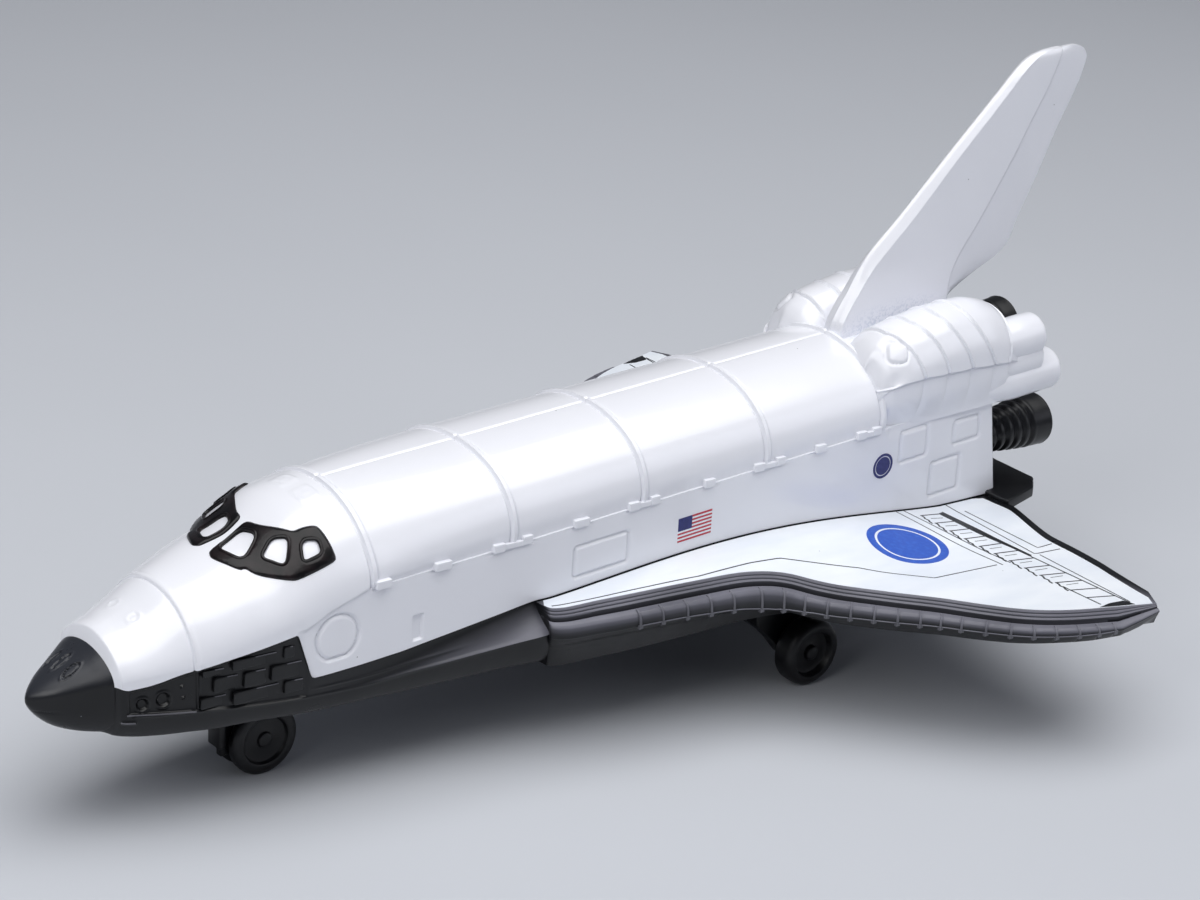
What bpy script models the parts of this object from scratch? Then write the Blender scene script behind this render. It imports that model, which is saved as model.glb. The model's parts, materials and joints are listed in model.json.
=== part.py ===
"""Die-cast toy space shuttle: a white enamelled metal casting on a black plastic base with wings.

Stations, sides and heights below are inches on the full-size craft, which the toy follows at 1:309.
Station runs aft, side runs to port and height runs up, all square to the payload bay.
In the scene +X is the nose, +Y is port, +Z is up, and the wheels stand on z = 0.
"""

import math

import bmesh
import bpy
from mathutils import Vector

# Driving dimensions
inch = 0.0254 / 309
gap = 0.6
root_gap = 1.2
wheel_radius = 40
main_axle_station = 1173
main_axle_height = 184
main_wheel_width = 30
main_wheel_inner_side = 125
nose_axle_station = 508
nose_axle_height = 222
nose_wheel_width = 16
nose_wheel_inner_side = 6
centre_station = 948.4
hull_rear = 1492
wing_floor = 272
axle_radius = 7
rivet_radius = 8
rivet_length = 70
nose_down = math.atan2(nose_axle_height - main_axle_height, main_axle_station - nose_axle_station)


def at(station, side, height):
    """World place of a point given by station, side and height."""
    forward = (main_axle_station - station) * inch
    up = (height - main_axle_height) * inch
    x = forward * math.cos(nose_down) + up * math.sin(nose_down)
    z = up * math.cos(nose_down) - forward * math.sin(nose_down) + wheel_radius * inch
    shift = (centre_station - main_axle_station) * inch
    return Vector((x + shift, side * inch, z))


def material(name, colour, roughness, metallic=0.0):
    made = bpy.data.materials.new(name)
    made.use_nodes = True
    shader = made.node_tree.nodes["Principled BSDF"]
    shader.inputs["Base Color"].default_value = (*colour, 1)
    shader.inputs["Roughness"].default_value = roughness
    shader.inputs["Metallic"].default_value = metallic
    return made


def add_object(name, mesh_data, finish, smooth_angle=35):
    for polygon in mesh_data.polygons:
        polygon.use_smooth = True
    mesh_data.set_sharp_from_angle(angle=math.radians(smooth_angle))
    mesh_data.materials.append(finish)
    made = bpy.data.objects.new(name, mesh_data)
    bpy.context.scene.collection.objects.link(made)
    return made


def loft(name, loops, finish, smooth_angle=35):
    """A closed solid through loops of equal point counts, each loop a list of (station, side, height)."""
    build = bmesh.new()
    rings = [[build.verts.new(at(*point)) for point in loop] for loop in loops]
    count = len(rings[0])
    for ring, after in zip(rings, rings[1:]):
        for i in range(count):
            j = (i + 1) % count
            build.faces.new((ring[i], ring[j], after[j], after[i]))
    build.faces.new(rings[0])
    build.faces.new(reversed(rings[-1]))
    bmesh.ops.triangulate(build, faces=[face for face in build.faces if len(face.verts) > 4])
    bmesh.ops.recalc_face_normals(build, faces=build.faces)
    mesh_data = bpy.data.meshes.new(name)
    build.to_mesh(mesh_data)
    build.free()
    return add_object(name, mesh_data, finish, smooth_angle)


def turned(name, profile, centre, axis, finish, steps=32):
    """A solid turned about an axis through centre: profile is a closed list of (along, radius) in inches."""
    build = bmesh.new()
    origin = at(*centre)
    along = (at(*axis) - at(0, 0, 0)).normalized()
    across = along.cross(Vector((0, 0, 1))).normalized()
    upward = along.cross(across)
    rings = []
    for step in range(steps):
        angle = 2 * math.pi * step / steps
        outward = across * math.cos(angle) + upward * math.sin(angle)
        rings.append([build.verts.new((along * a + outward * r) * inch) for a, r in profile])
    for step in range(steps):
        ring, after = rings[step], rings[(step + 1) % steps]
        for i in range(len(profile)):
            j = (i + 1) % len(profile)
            if profile[i][1] or profile[j][1]:
                build.faces.new((ring[i], ring[j], after[j], after[i]))
    bmesh.ops.remove_doubles(build, verts=build.verts, dist=1e-7)
    bmesh.ops.recalc_face_normals(build, faces=build.faces)
    mesh_data = bpy.data.meshes.new(name)
    build.to_mesh(mesh_data)
    build.free()
    made = add_object(name, mesh_data, finish)
    made.location = origin
    return made


def join(base, *others):
    """Fuses helper solids into base and hides them."""
    for other in others:
        other.hide_render = True
        other.display_type = "WIRE"
        union = base.modifiers.new("join " + other.name, "BOOLEAN")
        union.operation = "UNION"
        union.solver = "EXACT"
        union.object = other


def blend_rows(rows, key):
    """Values of a table at key, taken in a straight line between its two nearest rows."""
    if key <= rows[0][0]:
        return rows[0][1:]
    for low, high in zip(rows, rows[1:]):
        if key <= high[0]:
            part = (key - low[0]) / (high[0] - low[0])
            return tuple(a + (b - a) * part for a, b in zip(low[1:], high[1:]))
    return rows[-1][1:]


def oval(half_width, rise, fullness, steps):
    """(side, lift) points over a rounded roof, from its port foot to its starboard foot."""
    points = []
    for step in range(steps + 1):
        angle = math.pi * step / steps
        c, s = math.cos(angle), math.sin(angle)
        side = math.copysign(abs(c) ** (2 / fullness), c) * half_width
        points.append((side, rise * s ** (2 / fullness)))
    points[steps // 2] = (0.0, rise)
    return points


def deck_height(station, side):
    """Top of the wing: a sloping plane that swells beside the hull."""
    plane = 290 + (1426 - station) * 0.0788 + max(abs(side) - 130, 0) * 0.0216
    length_part = min(max((station - 811) / 599, 0), 1)
    reach = min(max(1 - (abs(side) - 106) / 130, 0), 1)
    swell = 21 * math.sin(math.pi * length_part) ** 1.2
    return plane + swell * reach * reach * (3 - 2 * reach)


# station and height of the line where the casting meets the base; aft of the last row it follows the wing's deck
parting_rows = (
    (304, 366),
    (320, 368),
    (350, 373),
    (380, 376),
    (421, 378),
    (447, 380),
    (492, 386),
    (508, 331),
    (620, 331),
    (790, 341.2),
    (811, 339.7),
)

# station, half width, shoulder, roof, fullness of the roof's curve
casting_rows = (
    (304, 60, 367, 386, 2.2),
    (320, 67, 370, 396, 2.2),
    (350, 76, 375, 413, 2.2),
    (383, 83, 379, 432, 2.25),
    (411, 88, 383, 443, 2.3),
    (447, 94, 389, 454, 2.35),
    (470, 98, 394, 469, 2.35),
    (492, 100.5, 399, 482, 2.4),
    (508, 102.5, 403, 487.5, 2.4),
    (530, 104.5, 407, 493, 2.4),
    (560, 105.5, 412, 498.5, 2.45),
    (582, 106, 415, 500, 2.5),
    (620, 106, 415, 500, 2.5),
    (790, 106, 415, 500, 2.5),
    (811, 106, 415, 500, 2.5),
)
tail_stations = (885, 960, 1035, 1097, 1158, 1205, 1252, 1302, 1330, 1370, 1410, 1450, hull_rear)


def parting(station):
    if station > parting_rows[-1][0]:
        return deck_height(station, 106) + root_gap
    return blend_rows(parting_rows, station)[0]


def hull_casting(finish):
    rows = casting_rows + tuple((station, *casting_rows[-1][1:]) for station in tail_stations)
    loops = []
    for station, half_width, shoulder, roof, fullness in rows:
        loop = [(station, half_width, parting(station))]
        loop += [(station, side, shoulder + lift) for side, lift in oval(half_width, roof - shoulder, fullness, 20)]
        loop.append((station, -half_width, parting(station)))
        loops.append(loop)
    return loft("body_casting", loops, finish)


# height, station of the leading edge, station of the trailing edge, half thickness
fin_rows = (
    (470, 1300, 1480, 14),
    (495, 1306, 1485, 14),
    (510, 1310, 1505, 13.5),
    (525, 1318, 1537, 13),
    (545, 1332, 1586, 12.5),
    (555, 1338, 1597, 12.2),
    (580, 1356, 1608, 12),
    (623, 1407, 1631, 11),
    (688, 1481, 1663, 10),
    (752, 1556, 1697, 9),
    (771, 1578, 1702, 8.5),
    (780, 1591, 1697, 8),
    (786, 1605, 1688, 6.5),
    (789, 1622, 1676, 4.5),
)


def fin(finish):
    """Six-sided sections: a bevelled leading edge, a flat web and a thinning rudder."""
    loops = []
    for height, front, rear, half in fin_rows:
        chord = rear - front
        bevel = front + min(27, chord * 0.3)
        crease = rear - min(62, chord * 0.35)
        loops.append([
            (front, 1.2, height), (bevel, half, height), (crease, half * 0.9, height), (rear, 2.5, height),
            (rear, -2.5, height), (crease, -half * 0.9, height), (bevel, -half, height), (front, -1.2, height),
        ])
    return loft("fin", loops, finish)


# station, top, how far the pod has swollen out from the hull, from 0 to 1
pod_rows = (
    (1292, 480, 0.0),
    (1298, 497, 0.35),
    (1312, 511, 0.7),
    (1335, 521, 0.9),
    (1370, 526, 1.0),
    (1420, 530, 1.0),
    (1460, 529, 1.0),
    (1488, 523, 0.96),
    (1506, 512, 0.88),
    (1517, 498, 0.75),
)


def pod(name, hand, finish):
    """One of the two engine pods beside the fin's root; hand is 1 to port and -1 to starboard."""
    loops = []
    for station, top, swell in pod_rows:
        outer = 98 + 21 * swell
        points = [(20, 410), (20, top - 30), (34, top - 10), (52, top - 1.5), (70, top), (outer - 22, top - 8)]
        points += [(outer - 9, top - 24), (outer - 2, top - 42), (outer, top - 54), (outer, 414), (outer - 10, 410)]
        loops.append([(station, hand * side, height) for side, height in points])
    return loft(name, loops, finish)


def nozzle(name, centre, radius, length, finish):
    """A round-ended stub that points aft."""
    profile = [(30, 0), (30, radius), (-length + radius * 0.5, radius)]
    for step in range(1, 4):
        angle = math.pi / 2 * step / 4
        profile.append((-length + radius * 0.5 * (1 - math.sin(angle)), radius * math.cos(angle)))
    profile.append((-length, 0))
    return turned(name, profile, centre, (-1, 0, 0), finish, 24)


# station, half width, roof, waist, keel of the rounded nose cap
cap_rows = (
    (237, 7, 349, 343, 337),
    (240, 16, 354, 343, 330),
    (247, 27, 360, 343, 323),
    (259, 40, 367, 343, 315),
    (275, 51, 375.5, 343, 309),
    (290, 58, 381.5, 343, 305),
    (303, 62, 386, 343, 303),
)

# station, half width of the rim, half width and height of the side's ridge, then of the flat belly
tray_rows = (
    (290, 50, 54, 335, 40, 306),
    (306, 59, 61, 334, 46, 304),
    (320, 65, 67, 331, 52, 302),
    (350, 74, 75, 328, 60, 299),
    (400, 85, 85, 322, 70, 295),
    (447, 92.5, 91, 315, 78, 291.5),
    (492, 99, 97, 311, 85, 288),
    (508, 101.5, 99, 310, 88, 287),
    (588, 104, 106.5, 307, 94, 283),
    (620, 104.5, 109, 308, 97, 281),
    (660, 105, 113, 309, 101, 279.5),
    (753, 105.5, 122, 318, 112, 277),
    (811, 106, 129, 331, 122, 276),
)


def nose_cap(finish):
    loops = []
    for station, half_width, roof, waist, keel in cap_rows:
        upper = [(station, side, waist + lift) for side, lift in oval(half_width, roof - waist, 2.2, 16)]
        lower = [(station, -side, waist - lift) for side, lift in oval(half_width, waist - keel, 2.4, 16)]
        loops.append(upper + lower[1:-1])
    return loft("nose_cap", loops, finish)


def hull_tray(finish):
    rows = list(tray_rows)
    for station in tail_stations:
        ridge_height = (parting(station) + wing_floor) / 2 + 2
        rows.append((station, 103.5, 103, ridge_height, 98, wing_floor - 2))
    loops = []
    for station, rim, ridge, ridge_height, belly, belly_height in rows:
        step = ridge_height - belly_height
        half = [(rim, parting(station) - gap), (ridge, ridge_height), (ridge - 1, belly_height + step * 0.6)]
        half += [((ridge + belly) / 2 + 1, belly_height + step * 0.16), (belly, belly_height)]
        loop = [(station - gap, side, height) for side, height in half]
        loops.append(loop + [(station - gap, -side, height) for side, height in reversed(half)])
    return loft("base_moulding", loops, finish)


# station and side of the deck's leading edge, then of the point on the root or trailing edge that faces it
wing_rows = (
    (794, 108, 794, 107),
    (797, 126, 812, 107),
    (855, 140, 875, 107),
    (916, 151, 935, 107),
    (980, 160, 1000, 107),
    (1030, 166, 1060, 107),
    (1067, 176, 1120, 107),
    (1089, 188, 1190, 107),
    (1113, 212, 1290, 107),
    (1144, 244, 1390, 107),
    (1175, 276, 1487, 107),
    (1207, 307, 1489, 125),
    (1236, 340, 1490, 145),
    (1267, 371, 1460, 240),
    (1290, 387, 1458, 275),
    (1322, 402, 1453, 320),
    (1355, 413, 1447, 350),
    (1423, 434, 1437, 405),
)
# outward reach and drop below the deck of the lines along the leading edge: groove, panels and under edge
edge_lines = ((8, 9), (9, 13), (15, 12), (27, 17), (33, 25), (30, 34), (20, 40))
deck_parts = (0.12, 0.25, 0.4, 0.55, 0.7, 0.85)


def wing(name, hand, finish):
    """Loops that each run round the wing: over the deck, round the leading edge and back under the floor."""
    loops = []
    edge = [Vector((row[0], row[1])) for row in wing_rows]
    for i, (station, side, far_station, far_side) in enumerate(wing_rows):
        run = (edge[min(i + 1, len(edge) - 1)] - edge[max(i - 1, 0)]).normalized()
        outward = Vector((-run.y, run.x)) if i else Vector((-0.7, 0.3))
        band = min(1, (1447 - station) / 75)
        top = deck_height(station, side)
        loop = [(station, side, top)]
        for reach, drop in edge_lines:
            point = edge[i] + outward * reach * band
            loop.append((point.x, point.y, max(top - drop * band, wing_floor)))
        far = Vector((far_station, far_side))
        if far_side == 107:
            seat = parting(far_station) - root_gap - 3 * gap
            ending = [(far_station, 60, wing_floor), (far_station, 60, seat), (far_station, 104, seat)]
            ending.append((far_station, 107, deck_height(far_station, 107)))
        else:
            far_top = deck_height(far_station, far_side) - 3
            ending = [(far_station, far_side, far_top - 8), (far_station, far_side, far_top)]
            for part in (0.97, 0.94):
                on = edge[i].lerp(far, part)
                ending.append((on.x, on.y, deck_height(on.x, on.y)))
        loop += ending
        for part in reversed(deck_parts):
            on = edge[i].lerp(far, part)
            loop.append((on.x, on.y, deck_height(on.x, on.y)))
        loops.append([(s, hand * y, h) for s, y, h in loop])
    return loft(name, loops, finish)


def body_flap(finish):
    """The flat plate that trails behind the hull, its corners cut."""
    outline = ((1440, 100), (1528, 126), (1545, 118), (1566, 100))
    plan = list(outline) + [(station, -side) for station, side in reversed(outline)]
    return loft("flap", [[(s, y, 272) for s, y in plan], [(s, y, 283) for s, y in plan]], finish)


def block(name, rear, front, left, right, low, high, finish):
    plan = ((rear, left), (front, left), (front, right), (rear, right))
    return loft(name, [[(s, y, low) for s, y in plan], [(s, y, high) for s, y in plan]], finish)


# height, then how far the leg reaches ahead of the main axle and behind it
strut_rows = (
    (main_axle_height - 13, 14, 12),
    (main_axle_height + 12, 34, 16),
    (main_axle_height + 38, 60, 22),
    (290, 75, 30),
)


def strut(name, hand, finish):
    """A tapered leg under the wing that carries one end of the main axle."""
    loops = []
    for height, front, rear in strut_rows:
        ends = (main_axle_station - front, main_axle_station + rear)
        plan = ((ends[0], 100), (ends[1], 100), (ends[1], 120), (ends[0], 120))
        loops.append([(station, hand * side, height) for station, side in plan])
    return loft(name, loops, finish)


def wheel(name, station, hand, inner_side, width, height, finish):
    """A toy wheel with a dished outer face; it is bored for its axle."""
    bore = axle_radius + gap
    dish = width * 0.27
    profile = [
        (0, bore), (0, 30), (width * 0.07, 36), (width * 0.17, 39), (width * 0.3, wheel_radius),
        (width * 0.7, wheel_radius), (width * 0.87, 38.5), (width, 34), (width, 28), (width - dish * 0.5, 25.5),
        (width - dish * 0.75, 24), (width - dish, 12), (width - dish * 0.6, 10), (width - dish * 0.6, bore),
    ]
    profile = [(hand * (inner_side + along), radius) for along, radius in profile]
    return turned(name, profile, (station, 0, height), (0, 1, 0), finish, 40)


def axle(name, station, height, half_length, finish):
    half = [(half_length - 2, axle_radius), (half_length, axle_radius - 3), (half_length, 0)]
    profile = [(-along, radius) for along, radius in reversed(half)] + half
    return turned(name, profile, (station, 0, height), (0, 1, 0), finish, 20)


def bell(name, centre, length, finish):
    """An engine bell with its stem, open aft."""
    outside = [(0, 0), (0, 13), (0.2, 13), (0.25, 21), (0.36, 25), (0.55, 29), (0.78, 31.5), (1, 33)]
    inside = [(1, 29.5), (0.78, 28), (0.55, 25), (0.43, 20), (0.37, 10), (0.35, 0)]
    profile = [(part * length, radius) for part, radius in outside + inside]
    return turned(name, profile, centre, (1, 0, 0), finish, 32)


def rivet(name, station, finish):
    """A spun rivet that holds base and casting together, its head let into the belly."""
    height = rivet_seat(station)
    profile = [(0, 0), (0, 14), (-3, 15), (-6, 13), (-8, 8), (-8.5, 0)]
    profile = [(rivet_length, 0), (rivet_length, rivet_radius), (0, rivet_radius)] + profile[1:]
    return turned(name, [(a - gap, r) for a, r in profile], (station, 0, height), (0, 0, 1), finish, 20)


def rivet_seat(station):
    rows = [(row[0], row[5]) for row in tray_rows] + [(station, wing_floor - 2) for station in tail_stations]
    return blend_rows(rows, station)[0] + 5


def cut(bodies, name, profile, centre, axis):
    """Takes a turned shape out of the bodies."""
    cutter = turned(name, profile, centre, axis, bodies[0].data.materials[0], 20)
    cutter.hide_render = True
    cutter.display_type = "WIRE"
    for body in bodies:
        difference = body.modifiers.new("cut " + name, "BOOLEAN")
        difference.operation = "DIFFERENCE"
        difference.solver = "EXACT"
        difference.object = cutter


def rod(length, radius):
    return [(-length, 0), (-length, radius), (length, radius), (length, 0)]


def main():
    for old in list(bpy.data.objects):
        bpy.data.objects.remove(old, do_unlink=True)
    white = material("white enamel", (0.85, 0.87, 0.9), 0.25)
    black = material("black plastic", (0.012, 0.012, 0.015), 0.4)
    steel = material("steel", (0.5, 0.5, 0.5), 0.3, 1.0)

    casting = hull_casting(white)
    helpers = [fin(white), pod("pod_port", 1, white), pod("pod_starboard", -1, white)]
    for side_name, hand in (("port", 1), ("starboard", -1)):
        helpers.append(nozzle("upper_nozzle_" + side_name, (1510, hand * 92, 476), 26, 52, white))
        helpers.append(nozzle("lower_nozzle_" + side_name, (1505, hand * 92, 425), 26, 90, white))
    join(casting, *helpers)

    base = hull_tray(black)
    parts = [nose_cap(black), wing("wing_port", 1, black), wing("wing_starboard", -1, black), body_flap(black)]
    # a thin web carries the nose axle between the two wheels, and a lug stands close ahead of them
    web = nose_wheel_inner_side - 1.6
    reach = wheel_radius + 3
    parts.append(block("nose_web", nose_axle_station + 24, nose_axle_station - reach - 3, -web, web, 209, 300, black))
    parts.append(block("nose_lug", nose_axle_station - reach, nose_axle_station - reach - 9, -11, 11, 222, 300, black))
    for side_name, hand in (("port", 1), ("starboard", -1)):
        parts.append(strut("main_strut_" + side_name, hand, black))
    join(base, *parts)

    for name, station, height, reach in (
        ("nose_axle_bore", nose_axle_station, nose_axle_height, 12),
        ("main_axle_bore", main_axle_station, main_axle_height, 124),
    ):
        cut([base], name, rod(reach, axle_radius + gap), (station, 0, height), (0, 1, 0))
    for name, station in (("rivet_front", 640), ("rivet_rear", 1320)):
        rivet(name, station, steel)
        seat = (station, 0, rivet_seat(station))
        cut([base, casting], name + "_bore", rod(rivet_length + 2 * gap, rivet_radius + gap), seat, (0, 0, 1))
        cut([base], name + "_recess", [(-20, 0), (-20, 18), (0, 18), (0, 0)], seat, (0, 0, 1))

    for side_name, hand in (("port", 1), ("starboard", -1)):
        place = (hand, nose_wheel_inner_side, nose_wheel_width, nose_axle_height)
        wheel("nose_wheel_" + side_name, nose_axle_station, *place, black)
        place = (hand, main_wheel_inner_side, main_wheel_width, main_axle_height)
        wheel("main_wheel_" + side_name, main_axle_station, *place, black)
        bell("engine_bell_" + side_name, (hull_rear + gap, hand * 53, 335), 133, black)
    bell("engine_bell_top", (hull_rear + gap, 0, 448), 108, black)
    nose_half_axle = nose_wheel_inner_side + nose_wheel_width - 2
    main_half_axle = main_wheel_inner_side + main_wheel_width - 4
    axle("nose_axle", nose_axle_station, nose_axle_height, nose_half_axle, steel)
    axle("main_axle", main_axle_station, main_axle_height, main_half_axle, steel)


main()
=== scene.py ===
# Die-cast toy space shuttle on its wheels: white enamelled casting, black moulded base, printed deck.
# Places are stations (aft), sides (port) and heights, in inches of the full-size craft at 1:309.
import json
import math

import bmesh
import bpy
import numpy as np
from mathutils import Matrix, Vector
from mathutils.geometry import delaunay_2d_cdt


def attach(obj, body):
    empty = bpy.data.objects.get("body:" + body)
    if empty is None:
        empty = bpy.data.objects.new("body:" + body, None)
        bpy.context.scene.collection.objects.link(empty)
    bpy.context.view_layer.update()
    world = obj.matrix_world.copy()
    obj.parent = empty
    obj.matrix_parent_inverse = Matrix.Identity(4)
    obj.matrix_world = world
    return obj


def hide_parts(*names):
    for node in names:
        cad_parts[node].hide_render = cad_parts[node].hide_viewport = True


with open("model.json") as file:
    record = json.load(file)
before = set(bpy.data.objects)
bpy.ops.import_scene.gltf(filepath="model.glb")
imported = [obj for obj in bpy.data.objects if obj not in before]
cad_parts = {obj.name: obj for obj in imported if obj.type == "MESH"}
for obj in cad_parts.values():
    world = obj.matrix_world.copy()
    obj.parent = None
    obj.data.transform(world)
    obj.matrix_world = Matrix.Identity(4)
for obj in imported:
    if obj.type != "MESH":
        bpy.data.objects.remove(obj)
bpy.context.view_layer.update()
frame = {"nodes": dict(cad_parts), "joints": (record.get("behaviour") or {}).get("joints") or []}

layout = {
    "inch": 0.0254 / 309,  # metres on the toy
    "mainAxle": (1173, 184),  # station, height
    "noseAxle": (508, 222),
    "axleRadius": 7,
    "hullRear": 1492,
    "hullHalf": 106,
    "wingFloor": 272,
    "gap": 0.6,
    "rootGap": 1.2,  # between the deck and the casting's foot
}
inch = layout["inch"]
gap = layout["gap"]
axlePlaces = {joint["name"]: Vector(joint["pos_m"]) for joint in frame["joints"]}
mainPlace = axlePlaces["main_wheels_spin"]
noseDown = math.atan2(
    layout["noseAxle"][1] - layout["mainAxle"][1], layout["mainAxle"][0] - layout["noseAxle"][0]
)
print("frame loaded, nose down", round(math.degrees(noseDown), 2), "degrees")


# Places and curves

def placeAll(points):
    # station, side, height to metres in the frame
    points = np.asarray(points, float).reshape(-1, 3)
    forward = (layout["mainAxle"][0] - points[:, 0]) * inch
    up = (points[:, 2] - layout["mainAxle"][1]) * inch
    x = mainPlace.x + forward * math.cos(noseDown) + up * math.sin(noseDown)
    z = mainPlace.z + up * math.cos(noseDown) - forward * math.sin(noseDown)
    return np.column_stack((x, points[:, 1] * inch, z))


def placeOne(station, side, height):
    return Vector(placeAll([(station, side, height)])[0])


def runAlong(path):
    # the length covered at each point of a path
    return np.concatenate(([0], np.cumsum(np.linalg.norm(np.diff(path, axis=0), axis=1))))


def unit(vectors):
    return vectors / np.linalg.norm(vectors, axis=-1, keepdims=True)


def readTable(table, keys):
    # straight lines through a table of (key, value)
    return np.interp(keys, *np.array(table, float).T)


def hermite(x, y, tangent, at):
    # a cubic curve through the rows of y at x with those tangents
    i = np.clip(np.searchsorted(x, at, side="right") - 1, 0, len(x) - 2)
    step = (x[i + 1] - x[i])[:, None]
    t = (at - x[i])[:, None] / step
    first = (1 + 2 * t) * (1 - t) ** 2 * y[i] + t * (1 - t) ** 2 * step * tangent[i]
    return first + t * t * (3 - 2 * t) * y[i + 1] + t * t * (t - 1) * step * tangent[i + 1]


def smoothCurve(points, run, at):
    # a Catmull-Rom curve through points, read at lengths along its chords
    return hermite(run, points, np.gradient(points, run, axis=0), at)


def smoothTable(rows, keys):
    # reads a short table's columns at the keys, on monotone curves through its rows
    table = np.asarray(rows, float)
    x, y = table[:, 0], table[:, 1:]
    keys = np.clip(np.asarray(keys, float), x[0], x[-1])
    step = np.diff(x)[:, None]
    slope = np.diff(y, axis=0) / step
    tangent = np.zeros_like(y)
    before, after = 2 * step[1:] + step[:-1], step[1:] + 2 * step[:-1]
    same = slope[1:] * slope[:-1] > 0
    with np.errstate(divide="ignore", invalid="ignore"):
        mean = (before + after) / (before / slope[:-1] + after / slope[1:])
    tangent[1:-1] = np.where(same, mean, 0)
    tangent[0], tangent[-1] = slope[0], slope[-1]
    return hermite(x, y, tangent, keys)


def smoothStep(value, low, high):
    t = np.clip((value - low) / (high - low), 0, 1)
    return t * t * (3 - 2 * t)


def plateau(value, low, lowEnd, high, highEnd):
    # 0, then 1 from lowEnd to high, then 0 again
    return smoothStep(value, low, lowEnd) * (1 - smoothStep(value, high, highEnd))


def hump(offset, width):
    return np.exp(-(offset / width) ** 2)


def bowed(value, fullness):
    # a sine or a cosine drawn out to a fuller curve
    return np.sign(value) * np.abs(value) ** (2 / fullness)


def rounded(points, passes=2, closed=True, keep=0.25):
    # cuts the corners of an outline, so that it turns in short curves
    points = np.asarray(points, float)
    for _ in range(passes):
        after = np.roll(points, -1, axis=0) if closed else points[1:]
        here = points if closed else points[:-1]
        cut = np.stack((here * (1 - keep) + after * keep, here * keep + after * (1 - keep)), axis=1)
        cut = cut.reshape(-1, points.shape[1])
        points = cut if closed else np.concatenate((points[:1], cut, points[-1:]))
    return points


def resample(path, spacing, closed=False):
    # points at even steps along a path
    path = np.asarray(path, float)
    if closed:
        path = np.concatenate((path, path[:1]))
    run = runAlong(path)
    count = max(int(round(run[-1] / spacing)), 1)
    at = np.linspace(0, run[-1], count + 1)
    points = np.column_stack([np.interp(at, run, path[:, k]) for k in range(path.shape[1])])
    return points[:-1] if closed else points


def spaced(stops):
    # stations from a table of (from, to, spacing)
    values = []
    for start, end, spacing in stops:
        count = max(int(round((end - start) / spacing)), 1)
        values.extend(np.linspace(start, end, count, endpoint=False))
    values.append(stops[-1][1])
    return np.array(values)


# Solids and pieces

def gridSolid(grid):
    # grid[i, j] is point j of closed ring i; both ends are closed by fans
    grid = np.asarray(grid, float)
    n, m, _ = grid.shape
    points = np.concatenate((grid.reshape(-1, 3), [grid[0].mean(0), grid[-1].mean(0)]))
    index = np.arange(n * m).reshape(n, m)
    onward = np.roll(index, -1, axis=1)
    quads = np.stack((index[:-1], onward[:-1], onward[1:], index[1:]), axis=-1).reshape(-1, 4)
    front = np.stack((np.full(m, n * m), onward[0], index[0]), axis=-1)
    back = np.stack((np.full(m, n * m + 1), index[-1], onward[-1]), axis=-1)
    return points, quads, np.concatenate((front, back))


def patchSolid(outline, holes, spacing, lower, upper):
    # fills a flat outline with triangles and gives it a lower and an upper face, each by a function
    loops = [np.asarray(loop, float) for loop in [outline, *holes]]
    outline, holes = loops[0], loops[1:]
    low, high = outline.min(0), outline.max(0)
    flat, edges = [], []
    for loop in loops:
        start, count = len(flat), len(loop)
        flat += [Vector(point) for point in loop]
        edges += [(start + k, start + (k + 1) % count) for k in range(count)]
    xs, ys = (np.arange(low[k] + spacing / 2, high[k], spacing) for k in range(2))
    inner = np.array(np.meshgrid(xs, ys)).reshape(2, -1).T
    free = insideLoop(inner, outline)
    for loop in loops:
        free &= loopDistance(inner, loop) > spacing * 0.45
    for hole in holes:
        free &= ~insideLoop(inner, hole)
    flat += [Vector(point) for point in inner[free]]
    verts, _, faces = delaunay_2d_cdt(flat, edges, [], 0, 1e-7)[:3]
    verts = np.array([tuple(v) for v in verts])
    faces = np.array([face for face in faces if len(face) == 3])
    middle = verts[faces].mean(1)
    keep = insideLoop(middle, outline)
    for hole in holes:
        keep &= ~insideLoop(middle, hole)
    used, faces = np.unique(faces[keep], return_inverse=True)
    faces = faces.reshape(-1, 3)
    verts = verts[used]
    count = len(verts)
    sides = np.concatenate((faces[:, [0, 1]], faces[:, [1, 2]], faces[:, [2, 0]]))
    pairs = {tuple(side) for side in sides.tolist()}
    rim = np.array([(a, b) for a, b in pairs if (b, a) not in pairs])
    walls = np.column_stack((rim[:, 1], rim[:, 0], rim[:, 0] + count, rim[:, 1] + count))
    tris = np.concatenate((faces, faces[:, ::-1] + count))
    return np.concatenate((upper(verts), lower(verts))), walls, tris


def insideLoop(points, loop):
    x, y = points[:, :1], points[:, 1:2]
    ax, ay = loop[:, 0], loop[:, 1]
    bx, by = np.roll(ax, -1), np.roll(ay, -1)
    crosses = (ay > y) != (by > y)
    with np.errstate(divide="ignore", invalid="ignore"):
        where = ax + (y - ay) * (bx - ax) / (by - ay)
    return (crosses & (x < where)).sum(1) % 2 == 1


def loopDistance(points, loop):
    a, b = loop, np.roll(loop, -1, axis=0)
    along = b - a
    lengths = np.maximum((along ** 2).sum(1), 1e-12)
    t = np.clip(((points[:, None] - a) * along).sum(2) / lengths, 0, 1)
    return np.linalg.norm(points[:, None] - (a + t[..., None] * along), axis=2).min(1)


def mirrored(points):
    return np.asarray(points, float) * (1, -1, 1)


def bothSides(solids):
    return [*solids, *((mirrored(points), quads, tris) for points, quads, tris in solids)]


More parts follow.
